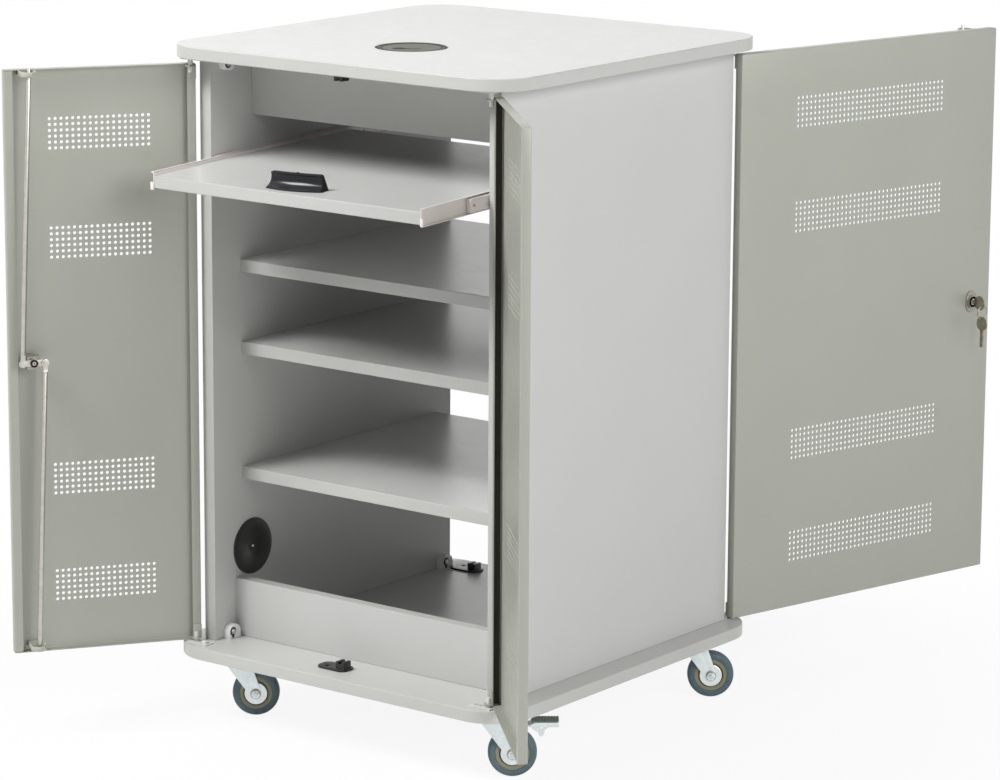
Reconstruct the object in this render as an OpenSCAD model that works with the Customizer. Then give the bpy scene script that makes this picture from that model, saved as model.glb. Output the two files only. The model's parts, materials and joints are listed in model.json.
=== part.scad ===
// Mobile lockable multimedia cabinet: two boards joined by side panels, three fixed
// shelves, a shelf on runners, two front doors, a rear door and four swivel castors.
// The origin is on the floor under the middle of the boards. The front faces -Y.

/* [Boards and panels] */
// Width of the base and top boards
board_w = 670; // [664:1:700]
// Depth of the base and top boards
board_d = 690; // [680:1:760]
// Thickness of the base and top boards
board_t = 20; // [18:1:30]
// Corner radius of the base and top boards
board_r = 70; // [40:1:76]
// Clear height between the two boards
inner_h = 932; // [900:1:1100]
// Height of the base board's underside above the floor
castor_h = 105; // [102:1:130]
// Distance between the outer faces of the side panels
panel_span = 586; // [580:1:600]
// Thickness of the side panels
panel_t = 22; // [18:1:28]
// Distance from the boards' front edge to the side panels
panel_inset_front = 48; // [46:1:60]
// Distance from the boards' rear edge to the side panels
panel_inset_rear = 38; // [36:1:60]
// Thickness of the upper and lower cross panels
cross_t = 20; // [15:1:25]
// Height of the upper cross panel
upper_cross_h = 100; // [60:1:120]
// Distance from the side panels' front edge to the upper cross panel
upper_cross_setback = 97; // [60:1:150]
// Height of the lower cross panel
lower_cross_h = 93; // [60:1:120]
// Distance from the side panels' front edge to the lower cross panel
lower_cross_setback = 49; // [48:1:60]

/* [Fixed shelves] */
// Thickness of the fixed shelves
shelf_t = 20; // [15:1:25]
// Distance from the side panels' front edge to the fixed shelves
shelf_setback = 67; // [40:1:120]
// Distance from the fixed shelves to the side panels' rear edge
shelf_rear_gap = 37; // [20:1:80]
// Height of the lower shelf's top face above the base board
lower_shelf_h = 272; // [200:1:300]
// Height of the middle shelf's top face above the base board
middle_shelf_h = 474; // [420:1:500]
// Height of the upper shelf's top face above the base board
upper_shelf_h = 605.5; // [560:0.5:640]
// Diameter of the shelf and panel dowels
dowel_d = 8; // [6:0.5:10]
// Length of the dowels
dowel_l = 30; // [24:1:36]
// Depth of a dowel in the piece that it holds up
dowel_deep = 12; // [8:1:14]

/* [Pull-out shelf] */
// Thickness of the pull-out shelf
pull_t = 19.5; // [15:0.5:22]
// Depth of the pull-out shelf
pull_d = 470; // [340:5:480]
// Height of its top front edge above the base board when it is pushed in
pull_h = 772; // [750:1:790]
// Distance of its front behind the boards' front edge when it is pushed in
pull_setback = 52; // [51:1:80]
// How far the shelf stands out in this pose
pull_out = 150; // [0:5:300]
// Downward slope of the runners toward the front, in degrees
pull_tilt = 2; // [0:0.5:3]
// Space that one runner takes between shelf and side panel
runner_w = 12.7; // [12:0.1:16]
// Sheet thickness of the runner members
runner_sheet = 1.2; // [1:0.1:1.5]
// How far the shelf members stand above the shelf
runner_rise = 5.5; // [2:0.5:8]
// How far the shelf members reach below the shelf
runner_drop = 2.3; // [1:0.1:5]
// Width of the black shelf pull
grip_w = 98; // [60:1:140]
// Height of the shelf pull
grip_h = 26; // [18:1:32]

/* [Doors] */
// Width of each front door
front_door_w = 300; // [290:0.5:301]
// Width of the rear door
rear_door_w = 565; // [540:0.5:568]
// Depth of the front doors' folded edge
front_door_d = 14.5; // [12:0.5:15]
// Depth of the rear door's folded edge
rear_door_d = 16; // [12:0.5:17]
// Sheet thickness of the doors
sheet = 1.2; // [0.8:0.1:1.5]
// Width of the lip behind the doors' upright edges
lip_w = 14; // [10:0.5:18]
// Gap between the base board and the doors
foot_gap = 3; // [2.5:0.5:5]
// Gap between the doors and the top board
head_gap = 10; // [6:0.5:12]
// Opening angle of the left front door in this pose
left_open = 124.95; // [73:0.05:175]
// Opening angle of the right front door in this pose
right_open = 134.65; // [75:0.05:175]
// Opening angle of the rear door in this pose
rear_open = 104.25; // [0:0.05:120]
// Diameter of the vent holes
vent_d = 5; // [3:0.5:6]
// Distance between the centres of neighbouring vent holes
vent_pitch = 9.13; // [8:0.01:10]
// Columns of vent holes in a front door
front_vent_columns = 18; // [6:1:24]
// Columns of vent holes in the rear door
rear_vent_columns = 36; // [12:1:44]
// Rows in each group of vent holes
vent_rows = 6; // [2:1:8]

/* [Door pivots and locks] */
// Diameter of the pivot pins
pivot_d = 6; // [5:0.5:7]
// Distance of the front pivots from the middle of the cabinet
front_pivot_x = 291.5; // [288:0.5:293]
// Distance from the boards' front edge to the front pivots
front_pivot_inset = 25; // [25:0.5:27]
// Distance of the rear pivot from the middle of the cabinet
rear_pivot_x = 283.5; // [280:0.5:288]
// Distance from the boards' rear edge to the rear pivot
rear_pivot_inset = 30.1; // [29.6:0.1:30.6]
// Height of the front lock above the base board
front_lock_h = 469; // [400:1:520]
// Height of the rear lock above the base board
rear_lock_h = 465; // [400:1:520]
// Distance of the front lock from the door's free edge
front_lock_edge = 35; // [34:0.5:40]
// Distance of the rear lock from the door's free edge
rear_lock_edge = 42.5; // [38:0.5:60]
// Distance from the lock's centre to each rod's pin
throw = 17.5; // [14:0.5:18]
// Diameter of the locking rods
rod_d = 7.5; // [6:0.5:8]
// Diameter of the rods' thin tips
rod_tip_d = 5.5; // [4:0.5:6]
// Quarter turn of the front lock, 0 is unlocked
front_lock_turn = 0; // [0:5:90]
// Quarter turn of the rear lock, 0 is unlocked
rear_lock_turn = 0; // [0:5:90]

/* [Castors] */
// Diameter of the castor wheels
wheel_d = 75; // [70:1:80]
// Width of the castor wheels
wheel_w = 24; // [20:1:26]
// Horizontal distance from the swivel to the axle
trail = 32; // [28:1:36]
// Direction in which the castors trail, from +X toward +Y
castor_turn = 37.4; // [0:0.1:90]
// Distance of the swivels from the middle, across the cabinet
castor_x = 256; // [240:1:258]
// Distance of the swivels from the middle, along the depth
castor_y = 266; // [240:1:268]

/* [Cable ports] */
// Diameter of the cable hole in the top board
grommet_d = 100; // [80:1:110]
// Place of the top cable port, across the cabinet
grommet_x = -9; // [-60:1:60]
// Place of the top cable port, along the depth
grommet_y = -128; // [-160:1:160]
// Diameter of the cable hole in the left side panel
side_port_d = 80; // [60:1:84]
// Height of the side port above the base board
side_port_h = 137.5; // [100:0.5:160]
// Distance from the side panel's front edge to the side port
side_port_setback = 90; // [80:1:200]

/* [Hidden] */
$fn = 48;

// Levels and faces of the carcass
base_top = castor_h + board_t;
top_under = base_top + inner_h;
top_z = top_under + board_t;
panel_x = panel_span / 2;
panel_in = panel_x - panel_t;
panel_front = panel_inset_front - board_d / 2;
panel_rear = board_d / 2 - panel_inset_rear;
panel_d = panel_rear - panel_front;
shelf_front = panel_front + shelf_setback;
shelf_rear = panel_rear - shelf_rear_gap;
shelf_heights = [lower_shelf_h, middle_shelf_h, upper_shelf_h];
upper_cross_y = panel_front + upper_cross_setback;
lower_cross_y = panel_front + lower_cross_setback;
side_port_y = panel_front + side_port_setback;
// Clearance around dowels and screws in their holes
snug = 0.05;
// Clearance of running fits
running = 0.05;

// Dowels: insets from the ends of what they hold
dowel_inset = 60;
cross_dowel_inset = 24;
panel_dowel_inset = 110;
panel_dowel_y = [panel_front + panel_dowel_inset, panel_rear - panel_dowel_inset];

// Fixing blocks in the corners between boards and side panels
block_w = 26;
block_t = 14;
block_h = 23;
block_y = [panel_front + 31, panel_rear - 24];
block_screw_z = 12;
block_side_screw_y = -5;
block_down_screw_y = 7;
screw_r = 2;
screw_head_r = 4;
screw_head_t = 2.4;
screw_bite = 12;

// Pull-out shelf: half widths and the runner's section
pull_x = panel_in - runner_w;
pull_y = pull_setback - board_d / 2;
pull_z = base_top + pull_h;
runner_l = pull_d;
runner_channel = 5.7;
runner_bar_gap = 1;
runner_ball_gap = 2.3;
ball_sink = 0.1;
ball_inset = 2;
ball_count = 7;
ball_pitch = 25;
runner_top = runner_rise;
runner_bottom = -pull_t - runner_drop;
runner_cabinet_start = 3;
middle_start = 30;
middle_short = 60;
middle_l = runner_l - middle_short;
runner_screw_y = [40, runner_l / 2, runner_l - 40];
runner_screw_head_r = 3.5;
runner_mid_z = (runner_top + runner_bottom) / 2;
grip_y = 15;
grip_d = 30;
grip_foot_t = 4;
grip_top_d = 9;
grip_turn = 9;

// Doors: heights, pivots and rows of vents
door_z = base_top + foot_gap;
door_h = inner_h - foot_gap - head_gap;
vent_heights = [105, 276, 650, 820];
front_pivot_y = front_pivot_inset - board_d / 2;
rear_pivot_y = board_d / 2 - rear_pivot_inset;
front_door_x = front_pivot_x + 10;
front_face_y = 5 - board_d / 2;
rear_face_y = board_d / 2 - 5;
// A pivot's place in its door: along the door from the hinge edge, and in from the face
front_pivot_s = front_door_x - front_pivot_x;
front_pivot_n = front_pivot_y - front_face_y;
rear_pivot_s = 0;
rear_pivot_n = rear_face_y - rear_pivot_y;
pivot_plate_t = 2;
pivot_plate_out = 10;
pivot_plate_in = 30;
pivot_shoulder_r = pivot_d / 2 + 1;
pivot_lift = 2;
pivot_pin_l = 11;
pivot_screw_x = [13, 23];
tab_r = pivot_d / 2 + 4;
tab_t = 2.5;
tab_play = 0.2;
leaf_t = 2;
leaf_h = 22;

// Locks: depths behind the door's outer face
lock_case_w = 20;
lock_case_n = 13;
cam_n = 32.5;
cam_t = 2.5;
cam_play = 0.5;
core_r = 5;
barrel_r = 9.5;
hub_r = 6.5;
nose_out = 6;
pin_r = 2.5;
eye_n = cam_n + cam_t + 0.3;
eye_t = 2.5;
eye_r = 6;
eye_l = 18;
rod_n = 37;
rod_start = 14;
guide_w = 29;
guide_n = 45;
guide_t = 2;
guide_h = 10;
guide_foot = 8;
rod_tip_out = 4.5;
rod_tip_l = 14.5;
rod_slope = asin(throw / (door_h / 2));
front_lock_s = front_door_w - front_lock_edge;
rear_lock_s = rear_door_w - rear_lock_edge;
front_rod_at = [front_lock_s - front_door_x, front_face_y + rod_n];
rear_rod_at = [rear_pivot_x + rear_pivot_s - rear_lock_s, rear_face_y - rod_n];
rod_hole_r = rod_tip_d / 2 + 0.75;
rod_hole_up = 14;
rod_hole_down = 8;

// Strikes: size and place about the rod's hole
strike_w = 57;
strike_d = 32;
strike_t = 3;
strike_out = 16.5;
strike_front = 10;
strike_block_w = 16;
strike_block_d = 17;
strike_block_h = 14;
strike_block_x = strike_w - strike_out - strike_block_w - 5;

// Keys and their ring
key_t = 2.2;
bow_r = 12;
bow_n = -nose_out - 3 - bow_r;
key_blade_w = 7;
key_blade_l = 14;
key_hole_r = 1.6;
key_hole_n = bow_n - 7;
key_hole_z = -4;
ring_r = 11;
ring_wire_r = 0.9;
spare_bow_drop = 8;
spare_blade_l = 30;

// Castors
axle_z = wheel_d / 2;
axle_r = 4;
rim_r = wheel_d / 2 - 11;
fork_y = wheel_w / 2 + 2;
fork_t = 2.5;
crown_t = 3;
crown_z = castor_h - 18;
plate_w = 60;
plate_t = 2.5;
race_r = 21;
king_r = 5;
castor_screw = 22;
castor_screw_r = 3;
guard_r = 18;
pedal_x = 16;
pedal_z = crown_z - 6;
pedal_pin_r = 2.5;
pedal_l = 88;
castor_sides = [[-1, -1], [1, -1], [-1, 1], [1, 1]];

// Cable ports
grommet_flange = 5.5;
grommet_flange_t = 2;
grommet_wall = 4;
grommet_ledge = 3;
cap_t = 3;
slot_w = 44;
slot_d = 9;
port_flange = 5.5;
port_flange_t = 3;

// Plan outline of a board
module rounded_rect(w, d, r) {
    square([w - 2 * r, d], center = true);
    square([w, d - 2 * r], center = true);
    for (x = [-1, 1], y = [-1, 1])
        translate([x * (w / 2 - r), y * (d / 2 - r)])
            circle(r, $fn = 96);
}

// A cylinder that lies along X, from x0 to x1
module rod_x(x0, x1, r) {
    translate([x0, 0, 0])
        rotate([0, 90, 0])
            cylinder(h = x1 - x0, r = r);
}

// A cylinder that lies along Y, from y0 to y1
module rod_y(y0, y1, r) {
    translate([0, y0, 0])
        rotate([-90, 0, 0])
            cylinder(h = y1 - y0, r = r);
}

// A flat outline drawn in X and Z, thickened along Y from y0
module plate_y(y0, t) {
    translate([0, y0 + t, 0])
        rotate([90, 0, 0])
            linear_extrude(t)
                children();
}

// Copies on both sides of the cabinet
module both_sides() {
    children();
    mirror([1, 0, 0])
        children();
}

// Copies against the base board and against the top board
module both_boards() {
    translate([0, 0, base_top])
        children();
    translate([0, 0, top_under])
        mirror([0, 0, 1])
            children();
}

// Places along the slope of the runners, with the shelf drawn out by some distance
module on_slide(out) {
    translate([0, pull_y, pull_z])
        rotate([pull_tilt, 0, 0])
            translate([0, -out, 0])
                children();
}

// Places of the doors: X along the door from its hinge edge, Y in from its outer face
module at_left_door() {
    translate([-front_pivot_x, front_pivot_y, 0])
        rotate([0, 0, -left_open])
            translate([-front_pivot_s, -front_pivot_n, 0])
                children();
}

module at_right_door() {
    translate([front_pivot_x, front_pivot_y, 0])
        rotate([0, 0, right_open])
            mirror([1, 0, 0])
                translate([-front_pivot_s, -front_pivot_n, 0])
                    children();
}

module at_rear_door() {
    translate([rear_pivot_x, rear_pivot_y, 0])
        rotate([0, 0, 180 - rear_open])
            translate([-rear_pivot_s, -rear_pivot_n, 0])
                children();
}

module at_castor(side) {
    translate([side.x * castor_x, side.y * castor_y, 0])
        rotate([0, 0, castor_turn])
            children();
}

// Dowels that stand in the end grain of the side panels
module upright_dowels(r) {
    both_sides()
        for (y = panel_dowel_y)
            translate([panel_in + panel_t / 2, y, -dowel_deep])
                cylinder(h = dowel_l, r = r);
}

// Dowels that lie between the side panels and what they carry
module level_dowels(r) {
    both_sides() {
        for (h = shelf_heights, y = [shelf_front + dowel_inset, shelf_rear - dowel_inset])
            translate([0, y, base_top + h - shelf_t / 2])
                rod_x(panel_in + dowel_deep - dowel_l, panel_in + dowel_deep, r);
        for (z = [top_under - upper_cross_h + cross_dowel_inset, top_under - cross_dowel_inset])
            translate([0, upper_cross_y + cross_t / 2, z])
                rod_x(panel_in + dowel_deep - dowel_l, panel_in + dowel_deep, r);
        for (z = [base_top + cross_dowel_inset, base_top + lower_cross_h - cross_dowel_inset])
            translate([0, lower_cross_y + cross_t / 2, z])
                rod_x(panel_in + dowel_deep - dowel_l, panel_in + dowel_deep, r);
    }
}

module dowel_holes() {
    level_dowels(dowel_d / 2 + snug);
    both_boards()
        upright_dowels(dowel_d / 2 + snug);
}

// Places of the fixing blocks, on the board and against the panel's inner face
module at_blocks() {
    both_boards()
        both_sides()
            for (y = block_y)
                translate([panel_in, y, 0])
                    children();
}

module block_screws(r, head_r, head_t) {
    translate([0, block_side_screw_y, block_screw_z]) {
        rod_x(-block_t, screw_bite, r);
        rod_x(-block_t - head_t, -block_t, head_r);
    }
    translate([-block_t / 2, block_down_screw_y, -screw_bite])
        cylinder(h = screw_bite + 5.1, r = r);
    translate([-block_t / 2, block_down_screw_y, 5])
        cylinder(h = head_t, r = head_r);
}

// Screws that hold the cabinet members of the runners, flush with the web
module runner_screws(r, head_r) {
    on_slide(0)
        both_sides()
            for (y = runner_screw_y)
                translate([0, runner_cabinet_start + y, runner_mid_z]) {
                    rod_x(panel_in - runner_sheet / 2, panel_in + screw_bite, r);
                    rod_x(panel_in - runner_sheet, panel_in, head_r);
                }
}

// Places of the six pivot plates: on each board, with X toward the middle of the cabinet
// and Y toward its inside
module at_pivots() {
    translate([-front_pivot_x, front_pivot_y, 0])
        children();
    translate([front_pivot_x, front_pivot_y, 0])
        mirror([1, 0, 0])
            children();
    translate([rear_pivot_x, rear_pivot_y, 0])
        rotate([0, 0, 180])
            children();
}

module pivot_screws(r, head_r) {
    at_pivots()
        for (x = pivot_screw_x)
            translate([x, 0, -screw_bite]) {
                cylinder(h = screw_bite + pivot_plate_t / 2, r = r);
                translate([0, 0, screw_bite + pivot_plate_t - screw_head_t / 2])
                    cylinder(h = screw_head_t / 2, r = head_r);
            }
}

module castor_screws(r, head_r) {
    for (side = castor_sides, x = [-1, 1], y = [-1, 1])
        translate([side.x * castor_x + x * castor_screw, side.y * castor_y + y * castor_screw, 0]) {
            translate([0, 0, castor_h - plate_t])
                cylinder(h = plate_t + screw_bite, r = r);
            translate([0, 0, castor_h - plate_t - 3])
                cylinder(h = 3, r = head_r);
        }
}

module rod_holes(h) {
    for (at = [front_rod_at, rear_rod_at])
        translate([at.x, at.y, -h])
            cylinder(h = h + 1, r = rod_hole_r);
}

// Carcass

module base_board() {
    color("gainsboro")
        difference() {
            translate([0, 0, castor_h])
                linear_extrude(board_t)
                    rounded_rect(board_w, board_d, board_r);
            dowel_holes();
            at_blocks()
                block_screws(screw_r + snug, screw_head_r, screw_head_t);
            translate([0, 0, base_top]) {
                pivot_screws(screw_r + snug, 0.1);
                rod_holes(rod_hole_down);
            }
            castor_screws(castor_screw_r + snug, 0.1);
        }
}

module top_board() {
    color("gainsboro")
        difference() {
            translate([0, 0, top_under])
                linear_extrude(board_t)
                    rounded_rect(board_w, board_d, board_r);
            dowel_holes();
            at_blocks()
                block_screws(screw_r + snug, screw_head_r, screw_head_t);
            translate([0, 0, top_under])
                mirror([0, 0, 1]) {
                    pivot_screws(screw_r + snug, 0.1);
                    rod_holes(rod_hole_up);
                }
            translate([grommet_x, grommet_y, top_under - 1])
                cylinder(h = board_t + 2, r = grommet_d / 2, $fn = 96);
            translate([grommet_x, grommet_y, top_z - grommet_flange_t])
                cylinder(h = grommet_flange_t + 1, r = grommet_d / 2 + grommet_flange + snug, $fn = 96);
        }
}

// The right side panel; the left one is its mirror image with a cable port
module side_panel() {
    difference() {
        translate([panel_in, panel_front, base_top])
            cube([panel_t, panel_d, inner_h]);
        dowel_holes();
        at_blocks()
            block_screws(screw_r + snug, screw_head_r, screw_head_t);
        runner_screws(screw_r + snug, 0.1);
    }
}

module right_side_panel() {
    color("gainsboro")
        side_panel();
}

module left_side_panel() {
    color("gainsboro")
        difference() {
            mirror([1, 0, 0])
                side_panel();
            translate([0, side_port_y, base_top + side_port_h])
                rod_x(-panel_x - 1, -panel_in + 1, side_port_d / 2);
        }
}

module upper_cross_panel() {
    color("gainsboro")
        difference() {
            translate([-panel_in, upper_cross_y, top_under - upper_cross_h])
                cube([2 * panel_in, cross_t, upper_cross_h]);
            dowel_holes();
        }
}

module lower_cross_panel() {
    color("gainsboro")
        difference() {
            translate([-panel_in, lower_cross_y, base_top])
                cube([2 * panel_in, cross_t, lower_cross_h]);
            dowel_holes();
        }
}

module fixed_shelf(h) {
    color("gainsboro")
        difference() {
            translate([-panel_in, shelf_front, base_top + h - shelf_t])
                cube([2 * panel_in, shelf_rear - shelf_front, shelf_t]);
            dowel_holes();
        }
}

module dowels() {
    color("burlywood") {
        level_dowels(dowel_d / 2);
        both_boards()
            upright_dowels(dowel_d / 2);
    }
}

module fixing_blocks() {
    color("white")
        at_blocks()
            difference() {
                translate([-block_t, 0, 0])
                    rotate([90, 0, 90])
                        linear_extrude(block_t) {
                            translate([-block_w / 2, 0])
                                square([block_w, block_h - block_w / 2]);
                            translate([0, block_h - block_w / 2])
                                circle(block_w / 2);
                        }
                block_screws(screw_r + snug, screw_head_r + snug, block_h);
                translate([-block_t - 1, -block_w, -block_w])
                    cube([block_t + 2, 2 * block_w, block_w]);
            }
}

module screws() {
    color("silver") {
        at_blocks()
            block_screws(screw_r, screw_head_r, screw_head_t);
        runner_screws(screw_r, runner_screw_head_r);
        both_boards()
            pivot_screws(screw_r, screw_head_r);
        castor_screws(castor_screw_r, 5);
    }
}

// One channel of sheet, open toward +X, from x0, between the heights z0 and z1
module channel(x0, w, z0, z1, y0, l) {
    translate([x0, y0, z0])
        difference() {
            cube([w, l, z1 - z0]);
            translate([runner_sheet, -1, runner_sheet])
                cube([w, l + 2, z1 - z0 - 2 * runner_sheet]);
        }
}

module runner_cabinet_members() {
    color("whitesmoke")
        difference() {
            on_slide(0)
                both_sides()
                    mirror([1, 0, 0])
                        channel(-panel_in, runner_channel, runner_bottom, runner_top,
                            runner_cabinet_start, runner_l);
            runner_screws(screw_r, runner_screw_head_r + snug);
        }
}

module runner_shelf_members() {
    color("whitesmoke")
        on_slide(pull_out)
            both_sides() {
                channel(pull_x, runner_channel, runner_bottom, runner_top, 0, runner_l);
                translate([pull_x, -2.5, runner_bottom])
                    cube([runner_channel, 2.5, pull_t / 2 + runner_drop]);
            }
}

// Balls above and below a middle member, in the shelf member's or the cabinet member's channel
module ball_rows(x, start) {
    ball_r = (runner_ball_gap + ball_sink - running) / 2;
    rise = (runner_top - runner_bottom) / 2 - runner_sheet - running - ball_r;
    for (i = [0 : ball_count - 1], side = [-1, 1])
        translate([x, start + i * ball_pitch, runner_mid_z + side * rise])
            sphere(ball_r);
}

module runner_middle_members() {
    color("silver")
        on_slide(pull_out / 2)
            both_sides() {
                difference() {
                    translate([pull_x + runner_sheet + runner_bar_gap, middle_start,
                        runner_bottom + runner_sheet + runner_ball_gap])
                        cube([runner_w - 2 * (runner_sheet + runner_bar_gap), middle_l,
                            runner_top - runner_bottom - 2 * (runner_sheet + runner_ball_gap)]);
                    for (y = [middle_start + 8, middle_start + middle_l - 8])
                        translate([0, y, runner_mid_z])
                            rod_x(pull_x, panel_in, 2.5);
                }
                ball_rows(pull_x + runner_channel - ball_inset, middle_start + 10);
                ball_rows(panel_in - runner_channel + ball_inset,
                    middle_start + middle_l - 10 - (ball_count - 1) * ball_pitch);
            }
}

module pullout_shelf() {
    color("gainsboro")
        on_slide(pull_out)
            translate([-pull_x, 0, -pull_t])
                cube([2 * pull_x, pull_d, pull_t]);
}

// Side outline of the shelf pull: a foot, a hollow front that flares up and forward,
// and a straight back
module grip_outline() {
    hollow_r = grip_h;
    difference() {
        polygon([[0, 0], [grip_d, 0], [grip_d, grip_foot_t], [grip_d - 4, grip_h * 0.6],
            [grip_d - 7, grip_h], [grip_d - 7 - grip_top_d, grip_h], [0, grip_foot_t]]);
        translate([-6, grip_h + 3])
            circle(hollow_r * 0.86, $fn = 64);
    }
}

module shelf_pull() {
    bow_radius = 260;
    color("black")
        on_slide(pull_out)
            translate([-4, grip_y, 0])
                rotate([0, 0, grip_turn])
                    intersection() {
                        translate([-grip_w / 2, 0, 0])
                            rotate([90, 0, 90])
                                linear_extrude(grip_w)
                                    grip_outline();
                        translate([0, bow_radius, -1])
                            cylinder(h = grip_h + 2, r = bow_radius, $fn = 180);
                    }
}

// Plates with pivot pins on both boards
module pivot_plate(gap) {
    difference() {
        translate([-pivot_plate_out, -12, 0])
            cube([pivot_plate_out + pivot_plate_in, 19, pivot_plate_t]);
        for (x = pivot_screw_x)
            translate([x, 0, -1]) {
                cylinder(h = pivot_plate_t + 2, r = screw_r + snug);
                translate([0, 0, 1 + pivot_plate_t - screw_head_t / 2])
                    cylinder(h = screw_head_t, r = screw_head_r + snug);
            }
    }
    cylinder(h = gap + pivot_lift, r = pivot_shoulder_r);
    cylinder(h = gap + pivot_lift + pivot_pin_l, r = pivot_d / 2);
}

module pivot_plates() {
    color("silver") {
        translate([0, 0, base_top])
            at_pivots()
                pivot_plate(foot_gap);
        translate([0, 0, top_under])
            mirror([0, 0, 1])
                at_pivots()
                    pivot_plate(head_gap);
    }
}

module strike() {
    difference() {
        union() {
            translate([strike_w / 2 - strike_out, strike_d / 2 - strike_front, 0])
                linear_extrude(strike_t)
                    rounded_rect(strike_w, strike_d, 12);
            translate([strike_block_x, (strike_d - strike_block_d) / 2 - strike_front, 0])
                cube([strike_block_w, strike_block_d, strike_block_h]);
        }
        translate([0, 0, -1])
            cylinder(h = strike_t + 2, r = rod_hole_r);
        translate([strike_block_x + strike_block_w / 2 - 3, -strike_front, strike_block_h - 4])
            cube([6, strike_d, 5]);
    }
}

module door_strikes() {
    color("black")
        both_boards() {
            translate(front_rod_at)
                strike();
            translate(rear_rod_at)
                mirror([0, 1, 0])
                    strike();
        }
}

module grommet_ring() {
    r = grommet_d / 2;
    color("dimgray")
        translate([grommet_x, grommet_y, top_z])
            rotate_extrude($fn = 96) {
                translate([r - grommet_wall, -board_t + 1])
                    square([grommet_wall - snug, board_t - 1]);
                translate([r - grommet_wall, -grommet_flange_t])
                    square([grommet_wall + grommet_flange, grommet_flange_t]);
                translate([r - grommet_wall - grommet_ledge, -cap_t - 2])
                    square([grommet_ledge + 1, 2]);
            }
}

module grommet_cap() {
    r = grommet_d / 2 - grommet_wall - 0.2;
    color("gray")
        translate([grommet_x, grommet_y, top_z - cap_t])
            difference() {
                cylinder(h = cap_t, r = r, $fn = 96);
                translate([-slot_w / 2, -slot_d - 8, -1])
                    cube([slot_w, slot_d, cap_t + 2]);
            }
}

module side_port_cover() {
    color("black")
        translate([0, side_port_y, base_top + side_port_h])
            difference() {
                union() {
                    rod_x(-panel_in, -panel_in + port_flange_t, side_port_d / 2 + port_flange);
                    rod_x(-panel_x, -panel_in, side_port_d / 2 - 0.1);
                }
                rod_x(-panel_x - 1, -panel_in - 3, side_port_d / 2 - 3);
            }
}

// Castors

module castor_plates() {
    color("silver")
        difference() {
            for (side = castor_sides)
                translate([side.x * castor_x, side.y * castor_y, 0]) {
                    translate([-plate_w / 2, -plate_w / 2, castor_h - plate_t])
                        cube([plate_w, plate_w, plate_t]);
                    translate([0, 0, crown_z + crown_t + 4])
                        cylinder(h = castor_h - crown_z - crown_t - 4, r = race_r);
                    translate([0, 0, crown_z - 3])
                        cylinder(h = 20, r = king_r);
                    translate([0, 0, crown_z - 3.3])
                        cylinder(h = 3, r = king_r + 3);
                }
            castor_screws(castor_screw_r + snug, castor_screw_r + snug);
        }
}

module fork(side) {
    color("silver")
        at_castor(side)
            difference() {
                union() {
                    for (y = [-fork_y - fork_t, fork_y])
                        plate_y(y, fork_t) {
                            polygon([[-18, crown_z + crown_t], [24, crown_z + crown_t],
                                [trail + 9.3, axle_z + 2], [trail - 6, axle_z - 7]]);
                            translate([trail, axle_z])
                                circle(9.5);
                        }
                    translate([-18, -fork_y - fork_t, crown_z])
                        cube([42, 2 * (fork_y + fork_t), crown_t]);
                    translate([0, 0, crown_z + crown_t])
                        cylinder(h = 3.7, r = race_r - 2);
                }
                translate([0, 0, crown_z - 1])
                    cylinder(h = 20, r = king_r + running);
                translate([trail, 0, axle_z])
                    rod_y(-wheel_w, wheel_w, axle_r + snug);
                translate([pedal_x, 0, pedal_z])
                    rod_y(-wheel_w, wheel_w, pedal_pin_r + running);
            }
}

// Axle bolt with its nut and the two thread guard discs
module axle(side) {
    end = fork_y + fork_t;
    color("silver")
        at_castor(side)
            translate([trail, 0, axle_z]) {
                rod_y(-end - 1, end + 7, axle_r);
                translate([0, -end - 5, 0])
                    rotate([-90, 0, 0])
                        cylinder(h = 5, r = 7.5, $fn = 6);
                translate([0, end, 0])
                    rotate([-90, 0, 0])
                        cylinder(h = 5, r = 7.5, $fn = 6);
                for (y = [-fork_y, fork_y - 1.7])
                    rod_y(y, y + 1.7, guard_r);
            }
}

module rim(side) {
    color("darkkhaki")
        at_castor(side)
            translate([trail, 0, axle_z])
                rotate([90, 0, 0])
                    rotate_extrude($fn = 96) {
                        translate([axle_r + running, -wheel_w / 2])
                            square([7, wheel_w]);
                        translate([axle_r + running, -4])
                            square([rim_r - axle_r - running, 8]);
                        translate([rim_r - 5, -wheel_w / 2 + 1])
                            square([5, wheel_w - 2]);
                    }
}

module tyre(side) {
    edge = 4;
    color("slategray")
        at_castor(side)
            translate([trail, 0, axle_z])
                rotate([90, 0, 0])
                    rotate_extrude($fn = 96) {
                        translate([rim_r + 0.02, -wheel_w / 2])
                            square([wheel_d / 2 - rim_r - edge - 0.02, wheel_w]);
                        translate([wheel_d / 2 - edge - 1, -wheel_w / 2 + edge])
                            square([edge + 1, wheel_w - 2 * edge]);
                        for (y = [-1, 1])
                            translate([wheel_d / 2 - edge, y * (wheel_w / 2 - edge)])
                                circle(edge);
                    }
}

// Brake lever with its pin and shoe, and the pad that the foot presses
module brake_pedal(side) {
    color("darkolivegreen")
        at_castor(side) {
            translate([pedal_x, 0, pedal_z])
                rod_y(-fork_y - fork_t, fork_y + fork_t, pedal_pin_r);
            translate([pedal_x - 4, -wheel_w / 2, pedal_z - 1.5])
                cube([pedal_l, wheel_w, 3]);
            translate([trail + 4, -wheel_w / 2 + 2, pedal_z - 3.4])
                cube([10, wheel_w - 4, 3]);
            translate([pedal_x + 42, -15, pedal_z + 1.5])
                cube([44, 30, 7.5]);
        }
}

// Doors

// Vent holes as flat circles, with X along the door and Y up from its lower edge
module vents(columns, middle) {
    for (h = vent_heights, i = [0 : columns - 1], j = [0 : vent_rows - 1])
        translate([middle + (i - (columns - 1) / 2) * vent_pitch,
            h - foot_gap + (j - (vent_rows - 1) / 2) * vent_pitch])
            circle(vent_d / 2, $fn = 24);
}

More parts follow.
